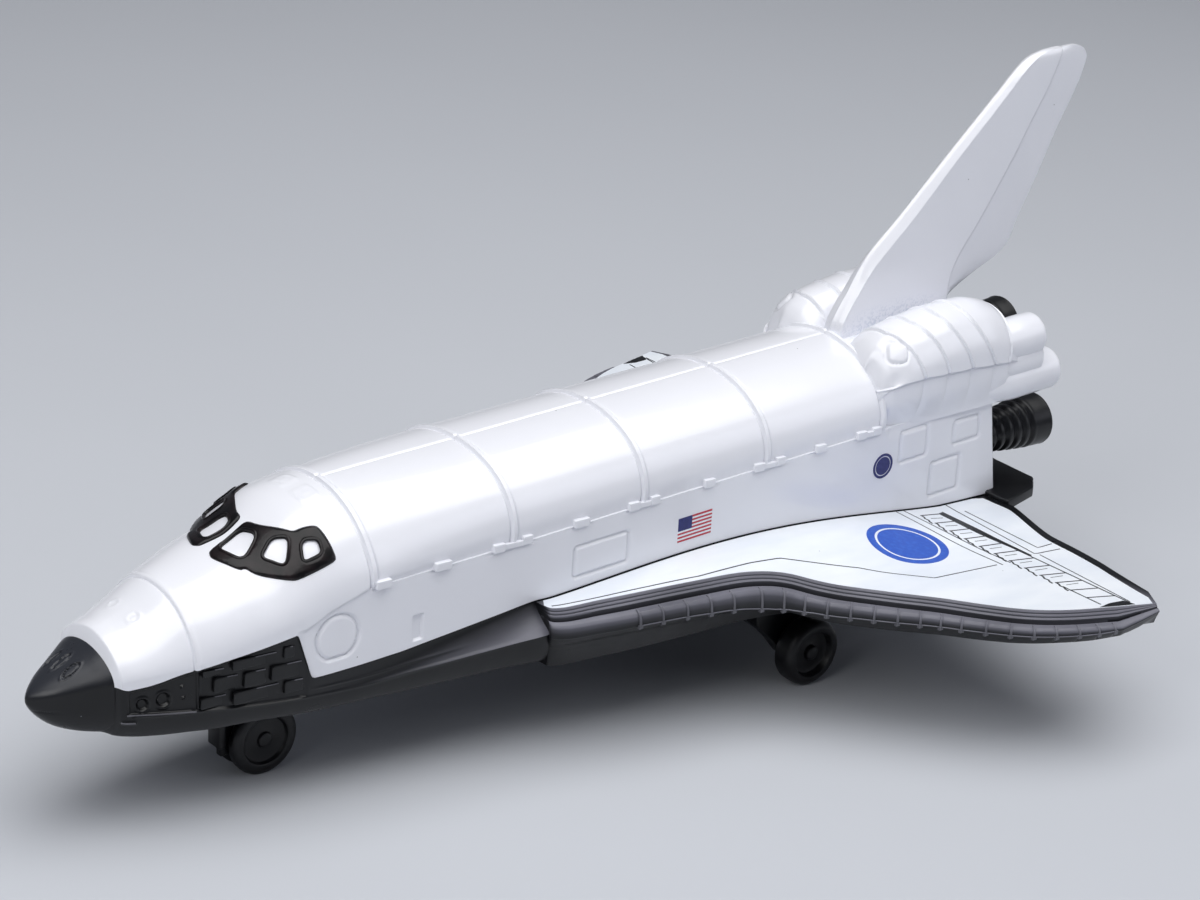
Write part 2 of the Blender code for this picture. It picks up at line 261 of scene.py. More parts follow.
def addPiece(name, solids, finish, node, body="shuttle", sharp=38, placed=False):
    # joins closed solids into one mesh whose faces point outward, and hangs it on its body
    allPoints, allFaces, start = [], [], 0
    for points, quads, tris in solids:
        points = np.asarray(points, float) if placed else placeAll(points)
        quads, tris = np.asarray(quads, int).reshape(-1, 4), np.asarray(tris, int).reshape(-1, 3)
        corners = np.concatenate((quads[:, [0, 1, 2]], quads[:, [0, 2, 3]], tris))
        a, b, c = (points[corners[:, k]] - points.mean(0) for k in range(3))
        if np.einsum("ij,ij->", a, np.cross(b, c)) < 0:
            quads, tris = quads[:, ::-1], tris[:, ::-1]
        allPoints.append(points)
        allFaces += (quads + start).tolist() + (tris + start).tolist()
        start += len(points)
    mesh = bpy.data.meshes.new(name)
    mesh.from_pydata(np.concatenate(allPoints).tolist(), [], allFaces)
    mesh.update()
    hangPiece(name, mesh, finish, node, body, sharp)


def newObject(name, data):
    made = bpy.data.objects.new(name, data)
    bpy.context.scene.collection.objects.link(made)
    return made


def hangPiece(name, mesh, finish, node, body="shuttle", sharp=38):
    # makes a mesh a piece of a body: it hides that node and takes that finish's material
    material, slot = looks[finish]
    mesh.name = name
    mesh.polygons.foreach_set("use_smooth", [True] * len(mesh.polygons))
    mesh.set_sharp_from_angle(angle=math.radians(sharp))
    if not mesh.materials:
        mesh.materials.append(material)
    piece = newObject(name, mesh)
    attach(piece, body)
    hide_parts(node)


def bevelledMesh(lofts, width):
    # few-sided sections joined into closed lofts, with all their sharp edges rounded, as one mesh
    joined = bmesh.new()
    for loops in lofts:
        build = bmesh.new()
        rings = [[build.verts.new(placeOne(*point)) for point in loop] for loop in loops]
        for ring, after in zip(rings, rings[1:]):
            for k in range(len(ring)):
                onward = (k + 1) % len(ring)
                build.faces.new((ring[k], ring[onward], after[onward], after[k]))
        build.faces.new(rings[0])
        build.faces.new(reversed(rings[-1]))
        bmesh.ops.recalc_face_normals(build, faces=build.faces)
        edges = [edge for edge in build.edges if edge.calc_face_angle(0) > math.radians(25)]
        bmesh.ops.bevel(
            build, geom=edges, offset=width * inch, segments=3, profile=0.5, affect="EDGES",
            clamp_overlap=True,
        )
        bmesh.ops.triangulate(build, faces=[face for face in build.faces if len(face.verts) > 4])
        part = bpy.data.meshes.new("part")
        build.to_mesh(part)
        build.free()
        joined.from_mesh(part)
        bpy.data.meshes.remove(part)
    mesh = bpy.data.meshes.new("bevelled")
    joined.to_mesh(mesh)
    joined.free()
    return mesh


def turnedSolid(profile, centre, axis, steps=64):
    # a profile of (along, radius), from the axis back to it, turned about an axis through centre
    axisDirection = (placeOne(*axis) - placeOne(0, 0, 0)).normalized()
    across = axisDirection.cross(Vector((0, 0, 1))).normalized()
    upward = axisDirection.cross(across)
    origin, axisDirection = np.array(placeOne(*centre)), np.array(axisDirection)
    angles = 2 * math.pi * np.arange(steps) / steps
    outward = np.outer(np.cos(angles), across) + np.outer(np.sin(angles), upward)
    profile = np.asarray(profile, float)
    along, radius = profile[1:-1, 0, None, None], profile[1:-1, 1, None, None]
    points, quads, tris = gridSolid(origin + inch * (along * axisDirection + radius * outward))
    points[-2:] = origin + inch * profile[[0, -1], :1] * axisDirection
    return points, quads, tris


# Geometry Nodes trees for what repeats or follows a path

def addNode(tree, kind, inputs=None, **settings):
    # adds a node; each input is a fixed value or another node's socket
    node = tree.nodes.new(kind)
    for key, value in settings.items():
        setattr(node, key, value)
    for key, value in (inputs or {}).items():
        if isinstance(value, bpy.types.NodeSocket):
            tree.links.new(value, node.inputs[key])
        else:
            node.inputs[key].default_value = value
    return node


def newTree(name, inputs):
    tree = bpy.data.node_groups.new(name, "GeometryNodeTree")
    tree.interface.new_socket(name="Geometry", in_out="INPUT", socket_type="NodeSocketGeometry")
    for label, kind, value in inputs:
        tree.interface.new_socket(name=label, in_out="INPUT", socket_type=kind).default_value = value
    tree.interface.new_socket(name="Finish", in_out="INPUT", socket_type="NodeSocketMaterial")
    tree.interface.new_socket(name="Geometry", in_out="OUTPUT", socket_type="NodeSocketGeometry")
    return tree, addNode(tree, "NodeGroupInput").outputs


def closeTree(tree, source, geometry):
    # every tree ends in Realize Instances and Set Material
    real = addNode(tree, "GeometryNodeRealizeInstances", {"Geometry": geometry})
    painted = addNode(tree, "GeometryNodeSetMaterial", {
        "Geometry": real.outputs[0], "Material": source["Finish"],
    })
    addNode(tree, "NodeGroupOutput", {"Geometry": painted.outputs[0]})
    return tree


def roundedBlockTree():
    # a soft-cornered block on each point, turned and stretched by the point's own attributes
    tree, source = newTree("roundedBlocks", [("Corner detail", "NodeSocketInt", 2)])
    counts = {"Vertices " + axis: 7 for axis in "XYZ"}
    cube = addNode(tree, "GeometryNodeMeshCube", {"Size": (1, 1, 1)} | counts)
    smooth = addNode(tree, "GeometryNodeSubdivisionSurface", {
        "Mesh": cube.outputs["Mesh"], "Level": source["Corner detail"],
    })
    turn, stretch = (
        addNode(tree, "GeometryNodeInputNamedAttribute", {"Name": name}, data_type=kind).outputs["Attribute"]
        for name, kind in (("turn", "QUATERNION"), ("stretch", "FLOAT_VECTOR"))
    )
    placed = addNode(tree, "GeometryNodeInstanceOnPoints", {
        "Points": source["Geometry"], "Instance": smooth.outputs["Mesh"], "Rotation": turn, "Scale": stretch,
    })
    return closeTree(tree, source, placed.outputs["Instances"])


def beadTree():
    # a round bead along every curve of the input
    tree, source = newTree("beads", [("Radius", "NodeSocketFloat", 0.0001), ("Sides", "NodeSocketInt", 8)])
    ring = addNode(tree, "GeometryNodeCurvePrimitiveCircle", {
        "Radius": source["Radius"], "Resolution": source["Sides"],
    })
    swept = addNode(tree, "GeometryNodeCurveToMesh", {
        "Curve": source["Geometry"], "Profile Curve": ring.outputs["Curve"], "Fill Caps": True,
    })
    return closeTree(tree, source, swept.outputs["Mesh"])


def hangGrown(name, data, kind, values, finish, node):
    # runs a tree on a carrier with that data, and hangs the result as a plain mesh
    carrier = newObject(name + "Carrier", data)
    modifier = carrier.modifiers.new("grow", "NODES")
    modifier.node_group = trees[kind]
    items = trees[kind].interface.items_tree
    sockets = {item.name: item.identifier for item in items if item.in_out == "INPUT"}
    for label, value in (values | {"Finish": looks[finish][0]}).items():
        modifier[sockets[label]] = value
    bpy.context.view_layer.update()
    graph = bpy.context.evaluated_depsgraph_get()
    mesh = bpy.data.meshes.new_from_object(carrier.evaluated_get(graph))
    carrier.modifiers.remove(modifier)
    bpy.data.objects.remove(carrier, do_unlink=True)
    build = bmesh.new()
    build.from_mesh(mesh)
    bmesh.ops.recalc_face_normals(build, faces=build.faces)
    build.to_mesh(mesh)
    build.free()
    hangPiece(name, mesh, finish, node)


def addBlocks(name, blocks, finish, node, detail=1):
    # blocks are (centre, run direction, outward direction, (length, thickness, height)), placed in metres
    mesh = bpy.data.meshes.new(name + "Points")
    mesh.from_pydata([tuple(block[0]) for block in blocks], [], [])
    turn = mesh.attributes.new("turn", "QUATERNION", "POINT")
    stretch = mesh.attributes.new("stretch", "FLOAT_VECTOR", "POINT")
    for k, (_, run, outward, size) in enumerate(blocks):
        run = Vector(run).normalized()
        outward = (Vector(outward) - run * run.dot(Vector(outward))).normalized()
        turn.data[k].value = Matrix((run, outward, run.cross(outward))).transposed().to_quaternion()
        stretch.data[k].vector = Vector(size) * inch
    hangGrown(name, mesh, "blocks", {"Corner detail": detail}, finish, node)


def addBeads(name, paths, radius, finish, node, sides=8, closed=False):
    # paths are lists of points in metres
    curve = bpy.data.curves.new(name + "Paths", "CURVE")
    curve.dimensions = "3D"
    for path in paths:
        spline = curve.splines.new("POLY")
        spline.points.add(len(path) - 1)
        spline.points.foreach_set("co", np.column_stack((path, np.ones(len(path)))).ravel())
        spline.use_cyclic_u = closed
    hangGrown(name, curve, "beads", {"Radius": radius * inch, "Sides": sides}, finish, node)


trees = {"blocks": roundedBlockTree(), "beads": beadTree()}
print("geometry trees ready")


# Materials

def linear(hexColour):
    # sRGB hex to the linear colour that a shader takes
    parts = [int(hexColour[k:k + 2], 16) / 255 for k in (1, 3, 5)]
    return tuple(p / 12.92 if p <= 0.04045 else ((p + 0.055) / 1.055) ** 2.4 for p in parts) + (1.0,)


def newMaterial(name, colour, values):
    made = bpy.data.materials.new(name)
    made.use_nodes = True
    tree = made.node_tree
    shader = tree.nodes["Principled BSDF"]
    shader.inputs["Base Color"].default_value = linear(colour)
    for key, value in values.items():
        shader.inputs[key].default_value = value
    return made, tree, addNode(tree, "ShaderNodeTexCoord").outputs["Object"]


def noiseField(tree, place, sizeMm, detail, stretch=(1, 1, 1)):
    # noise whose blotches are about sizeMm across
    mapped = addNode(tree, "ShaderNodeMapping", {"Vector": place, "Scale": stretch})
    return addNode(tree, "ShaderNodeTexNoise", {
        "Vector": mapped.outputs["Vector"], "Scale": 500 / sizeMm, "Detail": detail,
    }).outputs["Fac"]


def blotches(tree, place, sizeMm, detail, low, high, stretch=(1, 1, 1), spread=(0, 1)):
    # noise with the values from low to high spread over a range
    return addNode(tree, "ShaderNodeMapRange", {
        "Value": noiseField(tree, place, sizeMm, detail, stretch), "From Min": low, "From Max": high,
        "To Min": spread[0], "To Max": spread[1],
    }).outputs["Result"]


def coated(tree, mask, share, under, over):
    # one colour over another where the mask is; colours are hex strings or sockets
    under, over = (linear(colour) if isinstance(colour, str) else colour for colour in (under, over))
    if share < 1:
        mask = addNode(tree, "ShaderNodeMath", {0: mask, 1: share}, operation="MULTIPLY").outputs[0]
    return addNode(tree, "ShaderNodeMix", {0: mask, 6: under, 7: over}, data_type="RGBA").outputs[2]


def whereAll(tree, *steps):
    # 1 where every value is past its end, 0 where one is before its start; steps are (value, start, end)
    whole = None
    for value, start, end in steps:
        ramp = addNode(tree, "ShaderNodeMapRange", {"Value": value, "From Min": start, "From Max": end})
        step = ramp.outputs[0]
        if whole:
            step = addNode(tree, "ShaderNodeMath", {0: whole, 1: step}, operation="MULTIPLY").outputs[0]
        whole = step
    return whole


def finished(made, colour, rough=None, bumps=None, height=0.0, strength=0.5):
    # gives a material's shader its colour, its roughness and bumps of that height in metres
    tree = made.node_tree
    shader = tree.nodes["Principled BSDF"]
    tree.links.new(colour, shader.inputs["Base Color"])
    if rough:
        tree.links.new(rough, shader.inputs["Roughness"])
    if bumps:
        bump = addNode(tree, "ShaderNodeBump", {"Height": bumps, "Distance": height, "Strength": strength})
        tree.links.new(bump.outputs["Normal"], shader.inputs["Normal"])
    return made


def specks(tree, place, cellMm, sizeMm, share, seed=0.0):
    # small separate dots in a share of the cells: 1 inside a dot and 0 outside
    mapped = addNode(tree, "ShaderNodeMapping", {"Vector": place, "Location": (seed, seed, seed)}).outputs[0]
    cells = addNode(tree, "ShaderNodeTexVoronoi", {"Vector": mapped, "Scale": 1000 / cellMm})
    apart = addNode(tree, "ShaderNodeSeparateColor", {"Color": cells.outputs["Color"]})
    chosen = addNode(tree, "ShaderNodeMath", {0: apart.outputs[0], 1: share}, operation="LESS_THAN")
    reach = sizeMm / cellMm
    return whereAll(tree, (cells.outputs["Distance"], reach, reach * 0.6), (chosen.outputs[0], 0, 1))


def whiteEnamel():
    # gloss enamel sprayed on a zinc casting: soft orange peel, caught dust motes, and a grainy blue-grey
    # darkening round the fin's root
    made, tree, place = newMaterial("whiteGlossEnamel", "#E6E8EF", {
        "Roughness": 0.28, "IOR": 1.5, "Coat Weight": 0.6, "Coat Roughness": 0.09, "Coat IOR": 1.5,
    })
    colour = coated(tree, blotches(tree, place, 4, 2, 0.3, 0.7), 1, "#F0F1F7", "#EEEFF5")
    # distance from the fin's root, pressed together along the hull
    squeeze = (0.36, 1, 1)
    rootCentre = placeOne(1408, 0, 486) * Vector(squeeze)
    pressed = addNode(tree, "ShaderNodeVectorMath", {0: place, 1: squeeze}, operation="MULTIPLY")
    pressed = pressed.outputs[0]
    near = addNode(tree, "ShaderNodeVectorMath", {0: pressed, 1: rootCentre}, operation="DISTANCE")
    closeness = (near.outputs["Value"], 0.0036, 0.0014)
    grain = blotches(tree, place, 0.12, 4, 0.48, 0.6)
    colour = coated(tree, whereAll(tree, closeness, (grain, 0, 1)), 0.5, colour, "#A3AFC2")
    colour = coated(tree, specks(tree, place, 1.9, 0.075, 0.16), 0.75, colour, "#3A3C44")
    peel = noiseField(tree, place, 1.6, 1)
    peel = addNode(tree, "ShaderNodeMath", {0: peel, 1: 0.12}, operation="MULTIPLY").outputs[0]
    rootGrain = whereAll(tree, closeness, (noiseField(tree, place, 0.2, 3), 0, 1))
    surface = addNode(tree, "ShaderNodeMath", {0: rootGrain, 1: 0.25, 2: peel}, operation="MULTIPLY_ADD")
    return finished(made, colour, None, surface.outputs[0], 0.00002)


def deckPrint():
    # white pad print on moulded plastic: flatter than the enamel, with faint streaks of the pad
    made, tree, place = newMaterial("whitePadPrint", "#EDF1F6", {
        "Roughness": 0.42, "IOR": 1.5, "Coat Weight": 0.15, "Coat Roughness": 0.25,
    })
    streaks = blotches(tree, place, 1.6, 4, 0.35, 0.75, (0.35, 1, 1))
    colour = coated(tree, streaks, 1, "#EEF2F7", "#E0E6EF")
    colour = coated(tree, specks(tree, place, 2.4, 0.07, 0.2, 0.3), 0.7, colour, "#4A4E58")
    return finished(made, colour, None, noiseField(tree, place, 0.35, 3), 0.000012)


def blackPlastic(name, dark, pale):
    # black polystyrene from a polished mould: satin, with flow marks, fine scuffs and pale dust, and a
    # painted sheen on upward faces of the wings' edges and the nose cap
    made, tree, place = newMaterial(name, dark, {"Roughness": 0.36, "IOR": 1.5, "Specular IOR Level": 0.4})
    flow = blotches(tree, place, 2.6, 4, 0.3, 0.7, (0.5, 1, 1))
    along, across, _ = addNode(tree, "ShaderNodeSeparateXYZ", {0: place}).outputs
    sideways = addNode(tree, "ShaderNodeMath", {0: across}, operation="ABSOLUTE").outputs[0]
    facing = addNode(tree, "ShaderNodeTexCoord").outputs["Normal"]
    upward = addNode(tree, "ShaderNodeSeparateXYZ", {0: facing}).outputs[2]
    tail, tailStart = (placeOne(station, 0, 300)[0] for station in (1442, 1420))
    capRear, capFront = (placeOne(station, 0, 360)[0] for station in (312, 308))
    # the wings' leading edges get a lighter grey on their upward faces as a painted sheen, and are rougher
    # there with handling; not on their sides or behind
    onWing = (sideways, layout["hullHalf"] * inch, 124 * inch)
    sheenAndHandling = whereAll(tree, onWing, (upward, 0, 0.6), (along, tail, tailStart))
    paintedSheenGrey = coated(tree, flow, 1, "#606069", "#73737D")
    colour = coated(tree, sheenAndHandling, 1, coated(tree, flow, 1, dark, pale), paintedSheenGrey)
    # the top of the nose cap gets a little painted sheen too
    capTopSheen = whereAll(tree, (along, capRear, capFront), (upward, 0.1, 0.8))
    colour = coated(tree, capTopSheen, 1, colour, "#2C2E34")
    colour = coated(tree, specks(tree, place, 1.5, 0.055, 0.22), 0.7, colour, "#B9BEC9")
    scuffs = blotches(tree, place, 1.1, 5, 0.3, 0.7, spread=(0.27, 0.4))
    rough = addNode(tree, "ShaderNodeMath", {0: sheenAndHandling, 1: 0.08, 2: scuffs}, operation="MULTIPLY_ADD")
    return finished(made, colour, rough.outputs[0], noiseField(tree, place, 0.16, 3), 0.00001, 0.4)


def windowEnamel():
    # gloss black enamel brushed thickly on the window frames: it pools, with a brown cast where it thins
    made, tree, place = newMaterial("blackGlossEnamel", "#0E0C0E", {
        "Roughness": 0.3, "IOR": 1.45, "Specular IOR Level": 0.28, "Coat Weight": 0.18,
        "Coat Roughness": 0.06,
    })
    colour = coated(tree, blotches(tree, place, 0.6, 3, 0.42, 0.7), 1, "#09080A", "#1E1618")
    return finished(made, colour, None, noiseField(tree, place, 0.3, 3), 0.00003, 0.7)


def padInk(name, colour, worn):
    # one pass of pad-printing ink: even colour that thins a little in fine grain
    made, tree, place = newMaterial(name, colour, {"Roughness": 0.4, "IOR": 1.5})
    return finished(made, coated(tree, blotches(tree, place, 0.22, 4, 0.45, 0.75), 1, colour, worn))


def drawnSteel():
    # bright drawn steel wire and turned rivets: fine lines along the draw
    made, tree, place = newMaterial("drawnSteel", "#A9ABAF", {"Metallic": 1.0, "Roughness": 0.3})
    stretch = (1, 0.08, 1)
    colour = coated(tree, noiseField(tree, place, 0.12, 3, stretch), 1, "#8F9196", "#BDBFC4")
    return finished(made, colour, blotches(tree, place, 0.12, 3, 0.3, 0.7, stretch, (0.22, 0.42)))


def wheelPlastic():
    # black nylon wheels: a shade flatter than the base, scuffed on the tread
    made, tree, place = newMaterial("blackNylon", "#131318", {
        "Roughness": 0.42, "IOR": 1.5, "Specular IOR Level": 0.38,
    })
    colour = coated(tree, blotches(tree, place, 0.5, 4, 0.4, 0.75), 1, "#0A0A0D", "#17181C")
    rough = blotches(tree, place, 0.5, 4, 0.4, 0.75, spread=(0.34, 0.55))
    return finished(made, colour, rough, noiseField(tree, place, 0.2, 3), 0.00001)


def palePaper():
    # matt studio paper under the toy
    made, tree, place = newMaterial("paleStudioPaper", "#C3C6CC", {"Roughness": 0.85})
    return finished(made, coated(tree, noiseField(tree, place, 60, 3), 1, "#C0C3C9", "#C7CAD0"))


looks = {
    # material and the finish that it is in the record
    "white": (whiteEnamel(), "white_enamel"),
    "deck": (deckPrint(), "deck_print"),
    "black": (blackPlastic("blackMouldedPlastic", "#08090B", "#111216"), "black_plastic"),
    # a grey plastic for thin beads and edges, as a painted highlight
    "paintedHighlight": (blackPlastic("paintedHighlightPlastic", "#55555B", "#6A6A70"), "black_plastic"),
    "window": (windowEnamel(), "window_enamel"),
    "blackInk": (padInk("blackPadInk", "#101114", "#26282E"), "black_print"),
    "blueInk": (padInk("bluePadInk", "#1A50B8", "#2A62C4"), "blue_print"),
    "navyInk": (padInk("navyPadInk", "#171E66", "#262E78"), "blue_print"),
    "redInk": (padInk("redPadInk", "#B81E32", "#C43A4A"), "red_print"),
    "whiteInk": (padInk("whitePadInk", "#F2F4F8", "#DCE2EE"), "deck_print"),
    "steel": (drawnSteel(), "steel"),
    "wheel": (wheelPlastic(), "wheel_plastic"),
}
print("materials ready:", len(looks))


# The hull's shape

hull = {
    # station, height of the line where the casting meets the base; aft of this the line follows the deck
    "parting": (
        (304, 360.5), (309, 360.5), (313, 358), (317, 357), (325, 358), (337, 359.4), (349, 361.5),
        (361, 364.4), (373, 366.7), (385, 368.4), (397, 370.3), (409, 372.6), (421, 374.6), (447, 378.4),
        (472, 382.6), (492, 385.6), (508, 331), (620, 331), (790, 341.2), (811, 339.7),
    ),
    "partingBlend": 2.5,  # its corners are rounded over this far each way
    # station, half width, shoulder, roof, fullness of the roof's curve across and upward
    "casting": (
        (306, 50.5, 361.3, 387.5, 1.95, 1.95), (307.5, 52.8, 362.8, 392.4, 1.9, 1.9),
        (309, 55.2, 364.2, 397.4, 1.85, 1.85), (310.4, 57.2, 365.4, 401.4, 1.8, 1.8),
        (311.2, 57.8, 365.9, 402.6, 1.78, 1.78), (312, 58.1, 366.1, 403.1, 1.77, 1.77),
        (330, 64.3, 367.5, 407.5, 1.77, 1.72), (350, 70.6, 369.5, 416.5, 1.9, 1.7),
        (382, 79.2, 372, 433.8, 2.08, 1.68), (411, 87, 379, 442.9, 2, 1.82),
        (447, 94, 388, 454.8, 1.97, 1.86), (470, 97.8, 394, 461.8, 1.85, 1.8),
        (492, 100.3, 399, 474.3, 1.95, 1.82), (530, 104.4, 407, 491.3, 2.2, 1.9),
        (582, 106, 415, 499.5, 2.15, 1.7), (660, 106, 415, 500, 2.15, 2.25),
        (762, 106, 415, 499.8, 2.15, 2.6), (1306, 106, 415, 501, 1.95, 2.5),
        (1500, 106, 415, 501, 1.95, 2.5),
    ),
    # the casting's two meshes, each by from station, to station and the spacing of its sections
    "meshes": {
        "castingNose": (
            (306, 314, 0.5), (314, 338, 2.2), (338, 372, 1.4), (372, 392, 0.9), (392, 488, 2.6),
            (488, 572, 1.5), (572, 594, 0.75), (594, 604, 1.3),
        ),
        "castingBay": (
            (604, 628, 3), (628, 650, 1.2), (650, 752, 7), (752, 772, 0.8), (772, 840, 7),
            (840, 852, 1.2), (852, 916, 6), (916, 932, 1.2), (932, 952, 0.8), (952, 1112, 7),
            (1112, 1132, 0.8), (1132, 1292, 7), (1292, 1318, 0.8), (1318, 1330, 2), (1330, 1474, 1.7),
            (1474, 1492, 2),
        ),
    },
    "sectionRows": (76, 42),  # points up each flank, and up each half of the roof
    "rim": ((0.985, 2.2), (0.955, 3.0)),  # the rear rim: how far its rings are drawn in, and how far aft
    "rimLevel": 400,
    "sill": 415,
    "ribs": (582, 762, 942, 1122, 1302),
    # from station, to station of the door hinges; the long ones are a bar with a block at each end
    "shortHinges": ((582, 601), (657, 678), (842, 863), (1027, 1042), (1195, 1210)),
    "longHinges": ((733, 785), (918, 962), (1101, 1147), (1259, 1297)),
    "eyeLevel": 380,  # bearings round the hull are seen from the middle at this height
}

deckPlane = {
    "datum": (1426, 290),  # station and height of a point on it
    "slope": 0.0788,  # rise forward
    "dihedral": (130, 0.0216),  # rise outward from this side on
    "swell": (811, 1410, 21, 130),  # from station, to station, rise at the root, reach outward
}


def deckHeight(station, side):
    side = np.abs(side)
    datum, level = deckPlane["datum"]
    outer, rise = deckPlane["dihedral"]
    start, end, high, reach = deckPlane["swell"]
    plane = level + (datum - station) * deckPlane["slope"] + np.maximum(side - outer, 0) * rise
    swell = high * np.sin(np.pi * np.clip((station - start) / (end - start), 0, 1)) ** 1.2
    return plane + swell * (1 - smoothStep(side, layout["hullHalf"], layout["hullHalf"] + reach))


def partingHeight(stations):
    # the parting line with its corners rounded
    stations = np.asarray(stations, float)
    offsets = np.linspace(-hull["partingBlend"], hull["partingBlend"], 7)
    total = np.zeros_like(stations)
    for near in (stations + offset for offset in offsets):
        alongDeck = deckHeight(near, layout["hullHalf"]) + layout["rootGap"]
        total += np.where(near > hull["parting"][-1][0], alongDeck, readTable(hull["parting"], near))
    return total / len(offsets)


def roofAngles(count):
    # angles round the roof, closer together at the sills and along the centre seam
    even = np.linspace(0.033, np.pi / 2 - 0.03, count)
    nearSeam = np.pi / 2 - np.array((0.0193, 0.0092, 0.0037, 0.0012))
    quarter = np.concatenate(((0, 0.0009, 0.004, 0.012), even, nearSeam))
    return np.concatenate((quarter, [np.pi / 2], np.pi - quarter[::-1]))


def roofCurve(stations, angle):
    # side and height of the casting's roof, round from its port sill
    rows = smoothTable(hull["casting"], stations)
    half, shoulder, roof, across, upward = (rows[:, k, None] for k in range(5))
    return bowed(np.cos(angle), across) * half, shoulder + (roof - shoulder) * bowed(np.sin(angle), upward)


def sectionGrid(stations, side, height):
    # a row of points (station, side, height) for each station
    station = np.repeat(np.asarray(stations, float)[:, None], side.shape[1], axis=1)
    return np.stack((station, side, height), axis=-1)


def castingGrid(stations, flankRows, roofRows):
    roofSide, roofHeight = roofCurve(stations, roofAngles(roofRows))
    half, shoulder = roofSide[:, :1], roofHeight[:, :1]
    foot = partingHeight(stations)[:, None]
    flankHeight = foot + (shoulder - foot) * np.linspace(0, 1, flankRows, endpoint=False)
    flankSide = np.repeat(half, flankRows, axis=1)
    side = np.concatenate((flankSide, roofSide, -flankSide[:, ::-1]), axis=1)
    height = np.concatenate((flankHeight, roofHeight, flankHeight[:, ::-1]), axis=1)
    return sectionGrid(stations, side, height)


def raised(grid, inside, lift):
    # moves an open grid's points along its normals, away from the line inside = (side, height)
    normals = np.cross(np.gradient(grid, axis=0), np.gradient(grid, axis=1))
    normals /= np.maximum(np.linalg.norm(normals, axis=-1, keepdims=True), 1e-9)
    outward = grid[..., 1:] - np.array(inside)
    flip = np.sign((normals[..., 1:] * outward).sum(-1, keepdims=True))
    return grid + normals * np.where(flip == 0, 1, flip) * lift[..., None]


def turnedIn(grid, centre, rims):
    # adds rings to a grid's rear end that close in on centre = (side, height)
    rings = [grid]
    for inset, aft in rims:
        ring = grid[-1:].copy()
        ring[..., 1:] = np.array(centre) + (grid[-1:, :, 1:] - np.array(centre)) * inset
        ring[..., 0] += aft
        rings.append(ring)
    return np.concatenate(rings)


def boxDistance(x, y, box, corner):
    # signed distance to a rounded rectangle (left, right, low, high), negative inside
    left, right, low, high = box
    dx = np.abs(x - (left + right) / 2) - (right - left) / 2 + corner
    dy = np.abs(y - (low + high) / 2) - (high - low) / 2 + corner
    outside = np.hypot(np.maximum(dx, 0), np.maximum(dy, 0))
    return outside + np.minimum(np.maximum(dx, dy), 0) - corner


relief = {
    "bay": (574, 578, 1305, 1309),  # the doors begin and end between these stations
    "rib": (2.7, 2.2, 3.6),  # rise, half width of the top, half width of the foot
    "ribGroove": (1.8, 4.5, 1.1),  # depth, offset, width
    "seam": (1.5, 1.3),  # depth and width of the line along the roof
    "ledge": (2.2, 20),  # how far the doors stand in at the sill, and over what height that fades
    "hingeShadow": (2.2, 2.6, 1.2),  # depth, drop below the sill, width
    "bayStep": (6.5, 1306, 1313),  # depth of the step behind the doors, from station, to station
    "flankStep": (2.0, 1308, 1316, 398, 412),  # the same on the flank, which fades between two heights
    "crease": ((500, 388), (527, 402), (563, 413), (590, 420)),  # the line below which the nose stands in
    "creaseDepth": 2.0,
    "noseRing": (382, 2.2, 1.1, 0.8),  # station, depth, width, rise of the swelling behind it
    "noseStep": (1.3, 330, 372),  # how far the nose stands in ahead of its ring, and where that fades
    "noseMarks": ((347.3, -17, 5.5), (347.8, 19.3, 6.5)),  # station, side, radius
    "roofMark": (542, 565, 6, 31),  # from station, to station, from side, to side
    "outline": (3.3, 2.1),  # depth and width of a sunk outline
    "hatch": (538.5, 369.8, 25.2, 347),  # centre station and height, radius, height of the flat foot
    # left, right, low, high of the sunk slot, then of the outlined rectangles on the flank
    "slot": (632, 646, 338, 368),
    "panels": (
        (846, 922, 353, 389), (1334, 1378, 366, 404), (1389, 1437, 309, 352), (1422, 1468, 368, 397),
    ),
    "rearSlope": (0.16, 1440, 345, 285, 402),  # lean of the rear face from that station on, about a height
}


